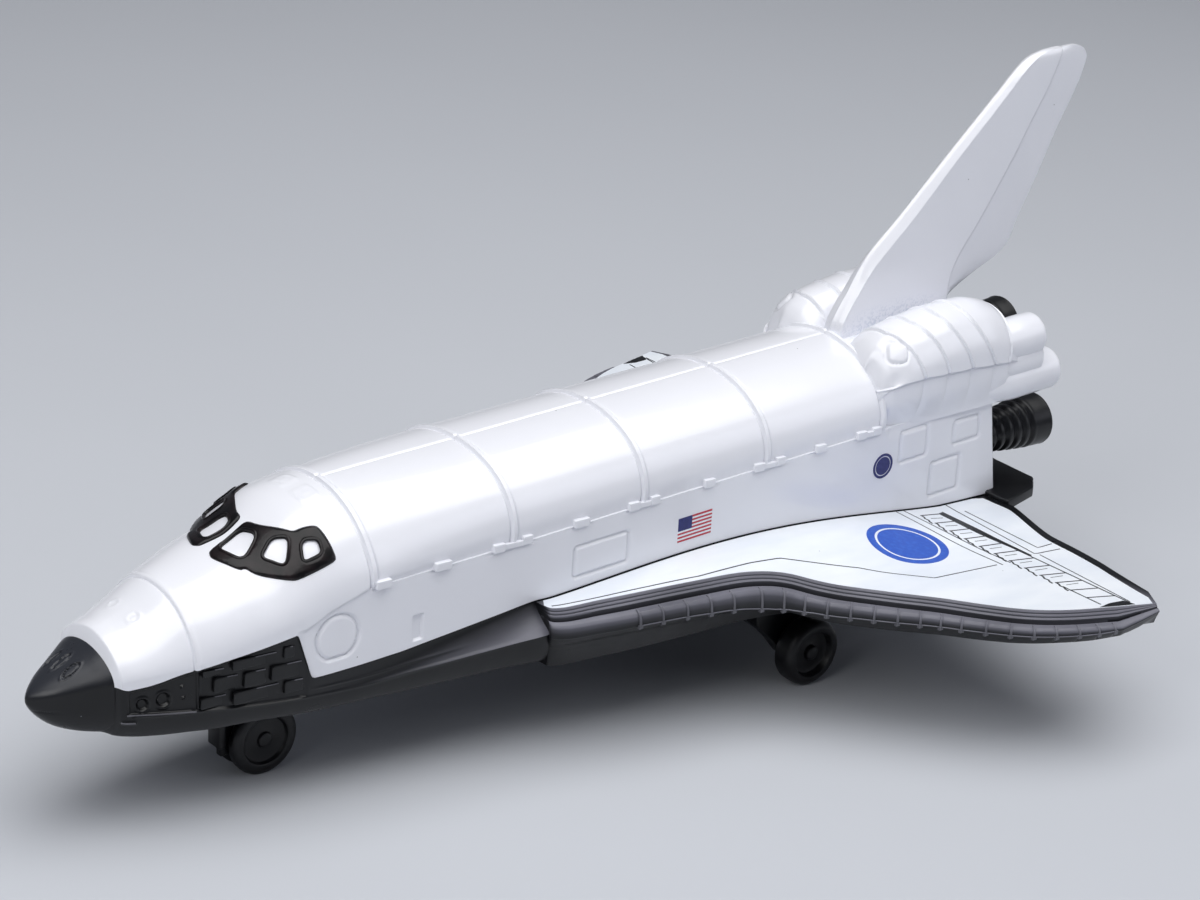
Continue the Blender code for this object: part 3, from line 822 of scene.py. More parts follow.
def castingRelief(station, side, height):
    # how far the casting stands out from its plain shape
    sill = hull["sill"]
    onRoof = smoothStep(height, sill + 0.05, sill + 0.2)
    onFlank = 1 - onRoof
    inBay = plateau(station, *relief["bay"])
    lift = np.zeros_like(station)
    rise, top, foot = relief["rib"]
    depth, offset, width = relief["ribGroove"]
    for rib in hull["ribs"]:
        away = np.abs(station - rib)
        lift += (rise * (1 - smoothStep(away, top, foot)) - depth * hump(away - offset, width)) * onRoof
    depth, width = relief["seam"]
    lift -= depth * hump(side, width) * inBay
    depth, reach = relief["ledge"]
    lift -= depth * onRoof * (1 - smoothStep(height, sill, sill + reach)) * inBay
    depth, drop, width = relief["hingeShadow"]
    for start, end in hull["shortHinges"] + hull["longHinges"]:
        beside = plateau(station, start - 3, start, end, end + 2)
        lift -= depth * hump(height - sill + drop, width) * beside * onFlank
    depth, start, end = relief["bayStep"]
    lift -= depth * onRoof * smoothStep(station, start, end)
    depth, start, end, low, high = relief["flankStep"]
    lift -= depth * onFlank * smoothStep(height, low, high) * smoothStep(station, start, end)
    below = 1 - smoothStep(height - readTable(relief["crease"], station), -2.2, 1.2)
    lift -= relief["creaseDepth"] * below * plateau(station, 488, 500, 600, 760)
    ring, depth, width, rise = relief["noseRing"]
    lift += rise * hump(station - ring - 4.5, 2.4) - depth * hump(station - ring, width)
    depth, start, end = relief["noseStep"]
    lift -= depth * (1 - smoothStep(station, ring - 1.5, ring + 1)) * smoothStep(station, start, end)
    for centre, across, radius in relief["noseMarks"]:
        mark = np.hypot(station - centre, side - across) - radius
        lift += 0.8 * hump(mark, 1.2) - 0.7 * hump(mark + 2.4, 1.2)
    left, right, low, high = relief["roofMark"]
    lift += 1 - smoothStep(boxDistance(station, np.abs(side), relief["roofMark"], 5), -1.5, 1)
    lift -= 0.7 * hump(np.hypot(station - (left + right) / 2, np.abs(side) - (low + high) / 2) - 6.5, 1.3)
    depth, width = relief["outline"]
    centre, level, radius, flat = relief["hatch"]
    hatch = np.maximum(np.hypot(station - centre, height - level) - radius, flat - height)
    lift -= depth * hump(hatch, width) * onFlank
    lift -= 3.2 * (1 - smoothStep(boxDistance(station, height, relief["slot"], 2), -2.2, 0.6)) * onFlank
    for box in relief["panels"]:
        lift -= depth * 0.9 * hump(boxDistance(station, height, box, 4), width) * onFlank
    return lift


def makeCasting():
    slope, start, level, low, high = relief["rearSlope"]
    for name, stops in hull["meshes"].items():
        # an open grid from the port foot over the roof to the starboard foot
        grid = castingGrid(spaced(stops), *hull["sectionRows"])
        grid = raised(grid, (0, 360), castingRelief(*np.moveaxis(grid, -1, 0)))
        lean = (level - np.clip(grid[..., 2], low, high)) * slope
        grid[..., 0] += lean * smoothStep(grid[..., 0], start, layout["hullRear"])
        if stops[-1][1] == layout["hullRear"]:
            grid = turnedIn(grid, (0, hull["rimLevel"]), hull["rim"])
        addPiece(name, [gridSolid(grid)], "white", "body_casting")
        print(name, grid.shape)


def hullPoints(stations, bearings, lift):
    # points on the casting by station and bearing in degrees, raised from it
    bearings = np.radians(bearings)
    side, height = roofCurve(stations, np.linspace(0.0, np.pi, 400))
    height = height - hull["eyeLevel"]
    seen = np.arctan2(height, side)
    points = np.array([
        (0, np.interp(bearing, here, out), np.interp(bearing, here, up))
        for bearing, here, out, up in zip(bearings, seen, side, height)
    ])
    outward = unit(points)
    outward[:, 0] = -0.35  # the windows also face forward
    points[:, 0] = stations
    points[:, 2] += hull["eyeLevel"]
    return points + unit(outward) * lift


makeCasting()


# Cockpit windows

windows = {
    # outlines as (station, bearing); the starboard window mirrors the port one
    "frame": (
        (443.1, 81.9), (440.4, 74.6), (454, 53.7), (461, 54.3), (465, 47.1), (479.6, 39.5), (493.5, 35.1),
        (501, 34.3), (540.5, 37.5), (544.3, 39.6), (541.4, 57.3), (535.8, 59.7), (522.8, 61.1), (516.3, 61),
        (511.1, 65.2), (502.5, 72.3), (496, 78.8), (493.1, 86.2), (487.5, 87.8), (468.1, 87.5), (446.4, 84.4),
    ),
    "panes": (
        ((452.8, 81.2), (481, 84), (488.7, 72.5), (463.4, 61)),
        ((479.2, 56), (495.9, 63.6), (508.9, 58.8), (493.8, 44.3)),
        ((515.5, 51.5), (521.1, 53.1), (532, 50.8), (530.3, 43.8), (510.5, 42.7)),
    ),
    "bearingInch": 1.6,  # inches along the hull for one degree of bearing, near enough for rounding
    "rise": 2.6,
    "edgeRise": 0.5,
    "bead": 1.9,
    "beadOffset": 0.13,  # how far the bead lies outside each pane, as a share of the pane
}


def makeWindows():
    scale = np.array((1, windows["bearingInch"]))
    outline = resample(rounded(np.array(windows["frame"]) * scale, 2), 2.2, closed=True)
    panes = [rounded(np.array(pane) * scale, 3, keep=0.18) for pane in windows["panes"]]
    holes = [resample(pane, 1.8, closed=True) for pane in panes]

    def face(flat, lift):
        return hullPoints(flat[:, 0], flat[:, 1] / scale[1], lift)

    def upper(flat):
        edge = np.minimum.reduce([loopDistance(flat, loop) for loop in [outline] + holes])
        low = windows["edgeRise"]
        return face(flat, (low + (windows["rise"] - low) * smoothStep(edge, 0, 2.4))[:, None])

    port = patchSolid(outline, holes, 2.4, lambda flat: face(flat, -1.5), upper)
    addPiece("windowFrames", bothSides([port]), "window", "body_casting", sharp=60)
    grown = [hole + (hole - hole.mean(0)) * windows["beadOffset"] for hole in holes]
    paths = [face(loop, windows["rise"] - 0.7) for loop in grown]
    beads = [placeAll(path * (1, hand, 1)) for hand in (1, -1) for path in paths]
    addBeads("windowBeads", beads, windows["bead"], "window", "body_casting", closed=True)
    print("windows ready")


makeWindows()


# Hinges of the bay doors

hinges = {
    "side": 105.6,
    "level": 417.6,
    "block": (7.2, 9.4),  # thickness, height
    "bar": (5.4, 6.0),
    "barDrop": 1.2,
    "endBlocks": (15, 13),  # length of the blocks at a bar's front and rear end
}


def makeHinges():
    blocks = []
    run = placeOne(0, 0, 0) - placeOne(1, 0, 0)

    def put(start, end, rise, size):
        for hand in (1, -1):
            centre = placeOne((start + end) / 2, hand * hinges["side"], hinges["level"] + rise)
            blocks.append((centre, run, (0, hand, 0), (end - start, *size)))

    for start, end in hull["shortHinges"]:
        put(start, end, 0, hinges["block"])
    for start, end in hull["longHinges"]:
        front, rear = hinges["endBlocks"]
        put(start, end, -hinges["barDrop"], hinges["bar"])
        put(start, start + front, 0.2, hinges["block"])
        put(end - rear, end, 0.2, hinges["block"])
    addBlocks("doorHinges", blocks, "white", "body_casting")
    print("hinges:", len(blocks))


makeHinges()


# Engine pods

pods = {
    "stops": ((1296, 1308, 1.5), (1308, 1480, 0.95), (1480, 1517, 0.8)),
    # station, top, swell
    "rows": (
        (1296, 484, 0.0), (1303, 499, 0.35), (1313, 510, 0.68), (1335, 521, 0.9), (1370, 526, 1.0),
        (1420, 530, 1.0), (1460, 529, 1.0), (1488, 523, 0.96), (1506, 512, 0.9), (1517, 498, 0.82),
    ),
    "crease": (
        (1296, 462), (1303, 465), (1325, 471.5), (1352, 473), (1390, 470.5), (1430, 468), (1467, 464),
        (1496.5, 460.6), (1518, 451),
    ),
    "outer": (98, 21),  # side of the crease where the pod begins, and how much further out it swells
    # the section over the pod: side, then drop from the top; and inward from the outer side, then drop
    "over": ((16, 46), (24, 24), (38, 8), (58, 0), (74, 0.5)),
    "shoulder": ((24, 8.5), (9, 25), (2, 41)),
    "foot": 409,
    "inner": 16,
    # step in below the crease, tuck at the foot, the share by which that eases, from station, to station
    "belly": (3.4, 11, 0.55, 1340, 1480),
    # station of each rib at the pod's top and at its crease, and how fast it leans; the last is the rear rim
    "ribs": (
        (1328, 1353, 0.6), (1364, 1392, 0.65), (1401, 1432, 0.9), (1438, 1470, 1.15), (1503, 1494.5, 1),
    ),
    "rib": (1.4, 1.3, 1.5),  # rise, width, depth of the groove in front of it
    "rearStep": 1.8,
    "quilt": 3.0,
    "creaseGroove": (1.7, 1.5, 1.1),  # depth, drop below the crease, width
    "square": (1315.2, 1333.8, 494.4, 511, 0.49),  # left, right, low, high of the raised square, its lean
    "middle": (60, 455),
    "rimCentre": (66, 462),
    "rim": ((0.985, 2.5), (0.955, 3.6), (0.9, 3.8)),
    # station, side, height, radius and length of each thruster stub
    "stubs": ((1510, 92, 476, 26, 52), (1505, 92, 425, 26, 90), (1505, 91, 450, 25, 58)),
}


def podGrid():
    stations = spaced(pods["stops"])
    rows = smoothTable(pods["rows"], stations)
    crease = smoothTable(pods["crease"], stations)[:, 0]
    upperPart, lowerPart = np.linspace(0, 1, 74), np.linspace(0, 1, 40) ** 1.35
    foot = pods["foot"]
    rings = []
    for station, (top, swell), fold in zip(stations, rows, crease):
        outer = pods["outer"][0] + pods["outer"][1] * swell
        anchors = [(side, top - drop) for side, drop in pods["over"]]
        anchors += [(outer - inward, top - drop) for inward, drop in pods["shoulder"]]
        anchors = np.array(anchors + [(outer, fold)])
        run = runAlong(anchors)
        upper = smoothCurve(anchors, run, upperPart * run[-1])
        levels = fold - 0.7 - (fold - foot - 0.7) * lowerPart
        step, tuck, ease, start, end = pods["belly"]
        fade = 1 - ease * smoothStep(station, start, end)
        tucked = tuck * smoothStep((fold - levels) / (fold - foot), 0.3, 1.0) * fade
        lower = np.column_stack((outer - step - tucked, levels))
        ring = np.concatenate((upper, lower, [(pods["middle"][0], foot), (pods["inner"], foot)]))
        rings.append(np.column_stack((np.full(len(ring), station), ring)))
    grid = np.array(rings)
    lift = podRelief(*np.moveaxis(grid, -1, 0), crease[:, None], rows[:, :1])
    return turnedIn(raised(grid, pods["middle"], lift), pods["rimCentre"], pods["rim"])


def podRelief(station, side, height, crease, top):
    # how far a pod stands out from its plain shape: ribs above the crease, a quilt below it
    above = smoothStep(height, crease - 0.4, crease + 0.4)
    slope = np.where(side < 66, 0, np.clip((top - height) / (top - crease), 0, 1))
    rise, width, depth = pods["rib"]
    lift = np.zeros_like(station)
    for topStation, footStation, lean in pods["ribs"]:
        away = station - (topStation + (footStation - topStation) * slope ** lean)
        lift += (rise * hump(away, width) - depth * hump(away + 2.6, 1.1)) * above * smoothStep(side, 20, 40)
    lift -= pods["rearStep"] * smoothStep(away, -1, 1.5)
    first, last = pods["ribs"][0][1], pods["ribs"][3][1]
    pillow = np.abs(np.sin(np.pi * (station - first) / ((last - first) / 3))) ** 0.5 - 0.6
    lowPart = np.clip((crease - height) / (crease - pods["foot"]), 0, 1)
    quilt = pods["quilt"] * pillow * (1 - smoothStep(lowPart, 0.35, 0.95)) * smoothStep(station, 1318, 1360)
    lift += quilt * (1 - above) * smoothStep(side, 80, 100)
    depth, drop, width = pods["creaseGroove"]
    lift -= depth * hump(height - crease + drop, width) * smoothStep(side, 80, 95)
    *box, shear = pods["square"]
    square = boxDistance(station - (height - (box[2] + box[3]) / 2) * shear, height, box, 5)
    proud = 1.2 * (1 - smoothStep(square, -1.8, 0.4)) - 1.5 * hump(square - 1.5, 1.3)
    return lift + proud * smoothStep(side, 70, 80)


def nozzleProfile(radius, length):
    # the front end narrows, so that the stub grows out of the pod's side
    profile = [(84, 0), (84, radius * 0.4), (55, radius * 0.62), (25, radius * 0.84), (2, radius * 0.96)]
    profile += [(-15, radius), (-length + radius * 0.45, radius)]
    for k in range(1, 12):
        turn = math.pi / 2 * k / 12
        profile.append((-length + radius * 0.45 * (1 - math.sin(turn)), radius * math.cos(turn) ** 0.8))
    return profile + [(-length, 0)]


def makePods():
    addPiece("enginePods", bothSides([gridSolid(podGrid())]), "white", "body_casting", sharp=34)
    stubs = [
        turnedSolid(nozzleProfile(radius, length), (station, hand * side, height), (-1, 0, 0))
        for hand in (1, -1) for station, side, height, radius, length in pods["stubs"]
    ]
    addPiece("thrusterStubs", stubs, "white", "body_casting", placed=True)
    print("pods ready")


makePods()


# Fin and rudder

fin = {
    "stops": ((470, 560, 3), (560, 750, 8), (750, 780, 3), (780, 789.5, 1.2)),
    # height, leading edge, trailing edge, half thickness
    "rows": (
        (470, 1300, 1480, 14), (495, 1306, 1485, 14), (510, 1310, 1505, 13.5), (525, 1318, 1537, 13),
        (545, 1332, 1586, 12.5), (555, 1338, 1597, 12.2), (580, 1356, 1608, 12), (623, 1407, 1631, 11),
        (688, 1481, 1663, 10), (752, 1556, 1697, 9), (771, 1578, 1702, 8.5), (780, 1591, 1697, 8),
        (786, 1605, 1688, 6.5), (789.5, 1622, 1676, 4.2),
    ),
    # depth of the leading bevel and station of the rudder's crease, by height
    "bevel": ((470, 5), (530, 6), (562, 9), (592, 16), (628, 15), (679, 12), (724, 11), (789.5, 8)),
    "crease": (
        (470, 1474), (500, 1489), (531.5, 1491.7), (554.6, 1501.9), (591.5, 1530.3), (622, 1552.9),
        (666, 1583.6), (706, 1608.2), (752, 1637), (789.5, 1655),
    ),
    "leastRudder": 8.5,
    "noseHalf": 1.6,
    "tailHalf": 2.4,
    "webTaper": 0.1,  # share of its thickness that the web loses towards the crease
    "rudderStep": 2.2,
    "groove": (2.0, 1.3),  # depth and width of the crease
}


def makeFin():
    heights = spaced(fin["stops"])
    tables = (smoothTable(fin[key], heights) for key in ("rows", "bevel", "crease"))
    thin, step, taper = fin["noseHalf"], fin["rudderStep"], fin["webTaper"]
    depth, width = fin["groove"]
    rings = []
    for height, (front, rear, half), (bevel,), (creaseAt,) in zip(heights, *tables):
        chord = rear - front
        crease = min(creaseAt - front, chord - fin["leastRudder"])
        # sections lie closer together at the bevel, at the crease and at both edges
        along = np.concatenate((
            (0, 0.8, 2.2), np.linspace(4, bevel - 2.2, 5), bevel + np.array((-1.1, 0, 1.1, 2.6)),
            np.linspace(bevel + 6, crease - 4, 10), crease + np.array((-2.6, -1.5, -0.7, 0, 0.7, 1.5, 2.6)),
            np.linspace(crease + 5, chord - 3, 7), chord - np.array((1.6, 0.5, 0)),
        ))
        along = np.clip(np.sort(along), 0, chord)
        nose = thin * np.sqrt(np.clip(along / thin, 0, 1))
        wedge = thin + (half - thin) * along / bevel
        web = half - half * taper * np.clip((along - bevel) / max(crease - bevel, 1), 0, 1)
        narrowing = fin["tailHalf"] - half * (1 - taper) + step
        tail = web - step + narrowing * np.clip((along - crease) / (chord - crease), 0, 1)
        thick = np.minimum(np.minimum(wedge, web), np.where(along > crease, tail, web))
        thick = np.where(along < thin, nose, thick) - depth * hump(along - crease, width)
        thick = np.maximum(thick * np.sqrt(np.clip((chord - along + 0.25) / 1.8, 0, 1)), 0.15)
        port = np.column_stack((front + along, thick, np.full(len(along), height)))
        rings.append(np.concatenate((port, mirrored(port[::-1]))))
    addPiece("finAndRudder", [gridSolid(rings)], "white", "body_casting", sharp=50)
    print("fin ready")


makeFin()


# Nose cap

cap = {
    # station, half width, height where the roof springs, roof, waist, keel
    "rows": (
        (235.4, 0.5, 345, 346, 344, 343), (237, 4.2, 345.2, 349.6, 343.6, 338),
        (240, 8, 346, 352.8, 342.6, 332.5), (247, 15.2, 348.2, 357.8, 340.5, 323.5),
        (259, 24.3, 351.8, 364.6, 337.5, 313), (275, 33.3, 355.6, 372.6, 334.5, 304.5),
        (290, 41.8, 358.8, 380, 332.5, 299.5), (306, 50.8, 361.5, 388.2, 331, 297),
        (309.5, 52, 362, 389.5, 331, 297),
    ),
    "roofFullness": (1.9, 1.85),  # across, upward
    "keelFullness": 2.3,
    # station, side, half length, half width of the sunk ovals
    "ovals": ((278, 15.3, 11.5, 5), (278, -3, 12.5, 4.5), (278.5, -17.5, 10, 4)),
    "crease": (334, 239, 245, 255, 268),  # height, then the stations between which it shows
    "joint": (1.4, 306.3, 307.6),  # depth of the step at the casting, from station, to station
}


def makeCap():
    # sections follow each other by the root of their distance from the tip, so that the tip is round
    table = np.array(cap["rows"], float)
    origin = table[0, 0] - 0.01
    keys = np.sqrt(table[:, 0] - origin)
    at = np.linspace(keys[0], keys[-1], 160)
    rows = smoothTable(np.column_stack((keys, table[:, 1:])), at)
    half, spring, roof, waist, keel = (rows[:, k, None] for k in range(5))
    over, below = np.linspace(0, np.pi, 120), np.linspace(np.pi, 2 * np.pi, 60)
    wall = np.linspace(0, 1, 16)[1:-1]
    (across, upward), low = cap["roofFullness"], cap["keelFullness"]
    side = half * np.concatenate((
        bowed(np.cos(over), across), -np.ones(len(wall)), bowed(np.cos(below), low), np.ones(len(wall)),
    ))
    height = np.concatenate((
        spring + (roof - spring) * bowed(np.sin(over), upward), spring + (waist - spring) * wall,
        waist + (waist - keel) * bowed(np.sin(below), low), waist + (spring - waist) * wall,
    ), axis=1)
    grid = sectionGrid(at ** 2 + origin, side, height)
    station, side, height = np.moveaxis(grid, -1, 0)
    lift = np.zeros_like(station)
    for centre, middle, length, width in cap["ovals"]:
        ring = (np.hypot((station - centre) / length, (side - middle) / width) - 1) * width
        ring = np.where(ring > 0, ring, ring * 1.5)
        lift += (0.7 * hump(ring, 0.8) - 1.3 * hump(ring + 1.6, 0.9)) * (height > spring)
    level, *reach = cap["crease"]
    lift -= hump(height - level, 1.0) * plateau(station, *reach)
    depth, start, end = cap["joint"]
    lift -= depth * smoothStep(station, start, end)
    addPiece("noseCap", [gridSolid(raised(grid, (0, 343), lift))], "black", "base_moulding", sharp=50)
    print("nose cap ready")


makeCap()


# Lower hull with its moulded panels

tray = {
    "stops": (
        (302, 307, 2.5), (307, 313, 0.8), (313, 400, 1.3), (400, 508, 1.8), (508, 830, 5), (830, 1491, 30),
    ),
    # station, half width of the rim, half width and height of the side's ridge, then of the flat belly
    "rows": (
        (302, 46, 47, 332, 16, 300.5), (307.5, 50.8, 52, 331.5, 23, 299.5),
        (310, 55.5, 57, 330.5, 28, 299), (320, 60.5, 62, 329.5, 38, 298), (350, 69.6, 71, 326, 54, 296),
        (382, 78.2, 79.2, 322.5, 64, 294.5), (400, 83, 83.3, 320.7, 70, 293.5),
        (447, 92.5, 91, 315, 78, 291.5), (492, 99, 97, 311, 85, 288), (508, 101.5, 99, 310, 88, 287),
        (588, 104, 107.5, 307, 94, 283), (620, 104.5, 110, 307.5, 97, 281),
        (660, 105, 114.5, 308, 101, 279.5), (705, 105, 119, 308.5, 106, 278),
        (753, 105.5, 126, 310, 112, 277), (794, 106, 134, 312.5, 118, 276),
        (811, 106, 134, 312, 118, 276), (885, 103.5, 104, 318, 98, 270), (1491, 103.5, 104, 280, 98, 270),
    ),
    "wallCurve": 1.6,  # the wall stays at the rim's width first, then swells out to the ridge
    "gridRows": (50, 30, 9),  # points down the wall, round the turn and across half the belly
    "recess": (317, 503, 1.8),  # from station, to station, depth
    "divider": (385.2, 1.6),  # station and rise of the rib between the front panel and the bricks
    "dimples": ((329.7, 339, 6), (350.4, 341, 7)),  # station, height, radius
    "dots": ((369.6, 352.2, 2.4), (370.6, 339.6, 2.4)),
    "chine": (2.6, 1.6, 1.6),  # rise of the bead along the ridge, how much less it is past the panel, width
    "dash": (2.2, 8.5, 1.8),  # rise, drop below the ridge, width
    "upperBead": (0.8, 9, 1.5),  # rise, height above the ridge, width
    # from station, to station, height of the top edge, height of the brick
    "bricks": (
        (387, 415.5, 334.5, 10), (421, 473, 334, 12), (478.6, 500, 333, 12),
        (401, 428, 354.5, 14), (433.5, 458, 354, 15), (463, 498, 354, 15),
        (389.5, 413.5, 364.8, 5), (419.5, 469.6, 370.5, 9), (477.4, 488, 373, 11),
    ),
    "brickThickness": 4.0,
    "brickSunk": 1.9,
    # beads along the chine in grey as painted highlights: from station, to station, rise from the ridge, how
    # proud it is of the side
    "paintedHighlightEdges": ((314, 382, 0.6, 1.6), (309.5, 322, -8.5, 0.9)),
}


def trayRows(stations):
    return smoothTable(tray["rows"], stations).T


def wallSide(stations, level):
    # side of the tray's wall at a height
    rim, ridge, ridgeHeight = trayRows(stations)[:3]
    top = partingHeight(stations) - gap
    return rim + (ridge - rim) * np.clip((top - level) / (top - ridgeHeight), 0, 1) ** tray["wallCurve"]


def trayGrid(stations):
    rim, ridge, ridgeHeight, belly, bellyHeight = (column[:, None] for column in trayRows(stations))
    top = partingHeight(stations)[:, None] - gap
    wallRows, turnRows, flatRows = tray["gridRows"]
    part = np.linspace(0, 1, wallRows)
    angle = np.linspace(0, np.pi / 2, turnRows + 1)[1:]
    out = np.concatenate((
        rim + (ridge - rim) * part ** tray["wallCurve"], belly + (ridge - belly) * np.cos(angle) ** 0.75,
        belly * np.linspace(1, 0, flatRows + 1)[1:],
    ), axis=1)
    height = np.concatenate((
        top + (ridgeHeight - top) * part, ridgeHeight + (bellyHeight - ridgeHeight) * np.sin(angle) ** 0.95,
        np.repeat(bellyHeight, flatRows, axis=1),
    ), axis=1)
    grid = sectionGrid(stations, out, height)
    station = grid[..., 0]
    above = height - ridgeHeight
    onWall = np.zeros_like(station)
    onWall[:, :wallRows] = 1
    start, end, depth = tray["recess"]
    inside = np.minimum.reduce([station - start, end - station, top - 2.5 - height, above - 1])
    lift = -depth * smoothStep(inside, -0.5, 0.8) * onWall
    divider, rise = tray["divider"]
    near = 1 - smoothStep(np.abs(station - divider), 1.0, 2.2)
    lift += rise * near * onWall * smoothStep(inside, -0.5, 1.2)
    for centre, level, radius in tray["dimples"]:
        bowl = np.hypot(station - centre, (height - level) * 0.85)
        lift -= (3.0 * (1 - smoothStep(bowl, radius - 2.5, radius)) - hump(bowl - radius - 1, 1.2)) * onWall
    for centre, level, radius in tray["dots"]:
        dot = np.hypot(station - centre, height - level)
        lift += 2.4 * (1 - smoothStep(dot, radius - 1.5, radius)) * onWall
    rise, less, width = tray["chine"]
    rise = rise - less * smoothStep(station, 378, 384)
    lift += rise * hump(above, width) * plateau(station, 316, 320, 700, 800)
    rise, drop, width = tray["dash"]
    lift += rise * hump(above + drop, width) * plateau(station, 309, 311, 323, 325)
    rise, level, width = tray["upperBead"]
    lift += rise * hump(above - level, width) * plateau(station, 505, 520, 640, 720)
    return raised(grid, (0, 330), lift)


def makeTray():
    grid = trayGrid(spaced(tray["stops"]))
    whole = np.concatenate((grid, mirrored(grid[:, :-1])[:, ::-1]), axis=1)
    addPiece("lowerHull", [gridSolid(whole)], "black", "base_moulding")
    # thin beads painted grey as highlights: the chine, and the top of each brick
    blocks, edges, tops = [], [], []
    for hand in (1, -1):
        def along(stations, side, level):
            level = np.broadcast_to(level, stations.shape)
            return placeAll(np.column_stack((stations, hand * side, level)))

        for start, end, rise, proud in tray["paintedHighlightEdges"]:
            spots = np.linspace(start, end, 24)
            _, ridge, ridgeHeight = trayRows(spots)[:3]
            edges.append(along(spots, ridge + proud, ridgeHeight + rise))
        for start, end, top, tall in tray["bricks"]:
            spots = np.linspace(start, end, 3)
            level = top - tall / 2
            front, centre, rear = along(spots, wallSide(spots, level) - tray["brickSunk"], level)
            size = (end - start + 2, tray["brickThickness"], tall + 1.6)
            blocks.append((centre, front - rear, (0, hand, 0.02), size))
            spots = np.linspace(start + 1.5, end - 1.5, 8)
            tops.append(along(spots, wallSide(spots, top) - 0.7, top + 0.2))
    addBlocks("sideBricks", blocks, "black", "base_moulding")
    addBeads("chineEdges", edges, 1.0, "paintedHighlight", "base_moulding")
    addBeads("brickEdges", tops, 0.6, "paintedHighlight", "base_moulding", sides=6)
    print("lower hull ready")


makeTray()


# Wings

wings = {
    # station and side of the deck's leading edge, then of the facing point on the root or trailing edge
    "rows": (
        (794, 108, 794, 107), (797, 126, 812, 107), (855, 140, 875, 107), (916, 151, 935, 107),
        (980, 160, 1000, 107), (1030, 166, 1060, 107), (1067, 176, 1120, 107), (1089, 188, 1190, 107),
        (1113, 212, 1290, 107), (1144, 244, 1390, 107), (1175, 276, 1487, 107), (1207, 307, 1489, 125),
        (1236, 340, 1490, 145), (1267, 371, 1460, 240), (1290, 387, 1458, 275), (1322, 402, 1453, 320),
        (1355, 413, 1447, 350), (1423, 434, 1437, 405),
    ),
    # outward reach and drop below the deck: sloped band, groove, panels, under edge
    "edge": (
        (0.5, 0.3), (2.2, 2.1), (2.4, 3.5), (3.0, 3.6), (3.3, 3.1), (5.1, 5.0), (5.3, 6.5), (5.9, 6.6),
        (6.2, 6.1), (8.3, 8.2), (8.5, 16), (10.7, 16.3), (11, 12.6), (12, 11.9), (13.4, 12.0), (15, 12.4),
        (19, 13.6), (22, 16.5), (23.6, 20.5), (24, 25), (23.6, 27), (22.2, 28.2), (20.5, 31), (17, 36),
        (12, 41),
    ),
    "panelLine": (15, 13.4),  # reach and drop on that edge where the panels begin
    "panelFoot": 27,  # drop on that edge of the panels' lower edge
    "edgeFoot": 41,
    # the real drop of the panels' lower edge, by station
    "face": (
        (888, 28), (945, 29), (1004, 32), (1039, 35), (1068, 36), (1093, 33), (1111, 29), (1145, 26.5),
        (1200, 24.5), (1254, 23), (1340, 21), (1400, 17.5), (1437, 14.5),
    ),
    # stations of the leading edge's ribs, on a line that far out from the deck
    "ribs": (
        888.5, 916.5, 947.7, 978.5, 1009, 1045, 1070, 1088, 1105, 1123, 1141, 1159, 1177, 1193, 1208, 1226,
        1245, 1265, 1287, 1312, 1335, 1355,
    ),
    "ribLine": 22,
    "tip": (1447, 75),  # station where the edge has thinned to nothing, and over what length
    # how much of the edge's depth is left under the panels, by station
    "lower": ((1160, 1), (1250, 0.88), (1340, 0.8), (1400, 0.55), (1437, 0.25)),
    "trail": 5.0,  # bare black strip behind the print
    "pillow": 2.8,  # how far each panel bulges between its ribs
    "footSize": (5.5, 3.6, 4.2),  # length, thickness, height of the foot under each rib
}


def wingFrame(count):
    # evenly spaced sections along the leading edge: edge point, facing point, outward direction
    table = np.array(wings["rows"], float)
    run = runAlong(table[:, :2])
    at = np.linspace(0, run[-1], count)
    rows = smoothTable(np.column_stack((run, table)), at)
    heading = unit(np.gradient(rows[:, :2], at, axis=0))
    outward = np.column_stack((-heading[:, 1], heading[:, 0]))
    start = hump(at, 22)[:, None]
    outward = outward * (1 - start) + np.array((0, 1)) * start
    return rows, outward * (0.72 + 0.28 * smoothStep(at, 0, 110))[:, None], at


def tipShare(station):
    # how much of the edge's depth is left towards the tip
    end, ease = wings["tip"]
    return min(1, (end - station) / ease)


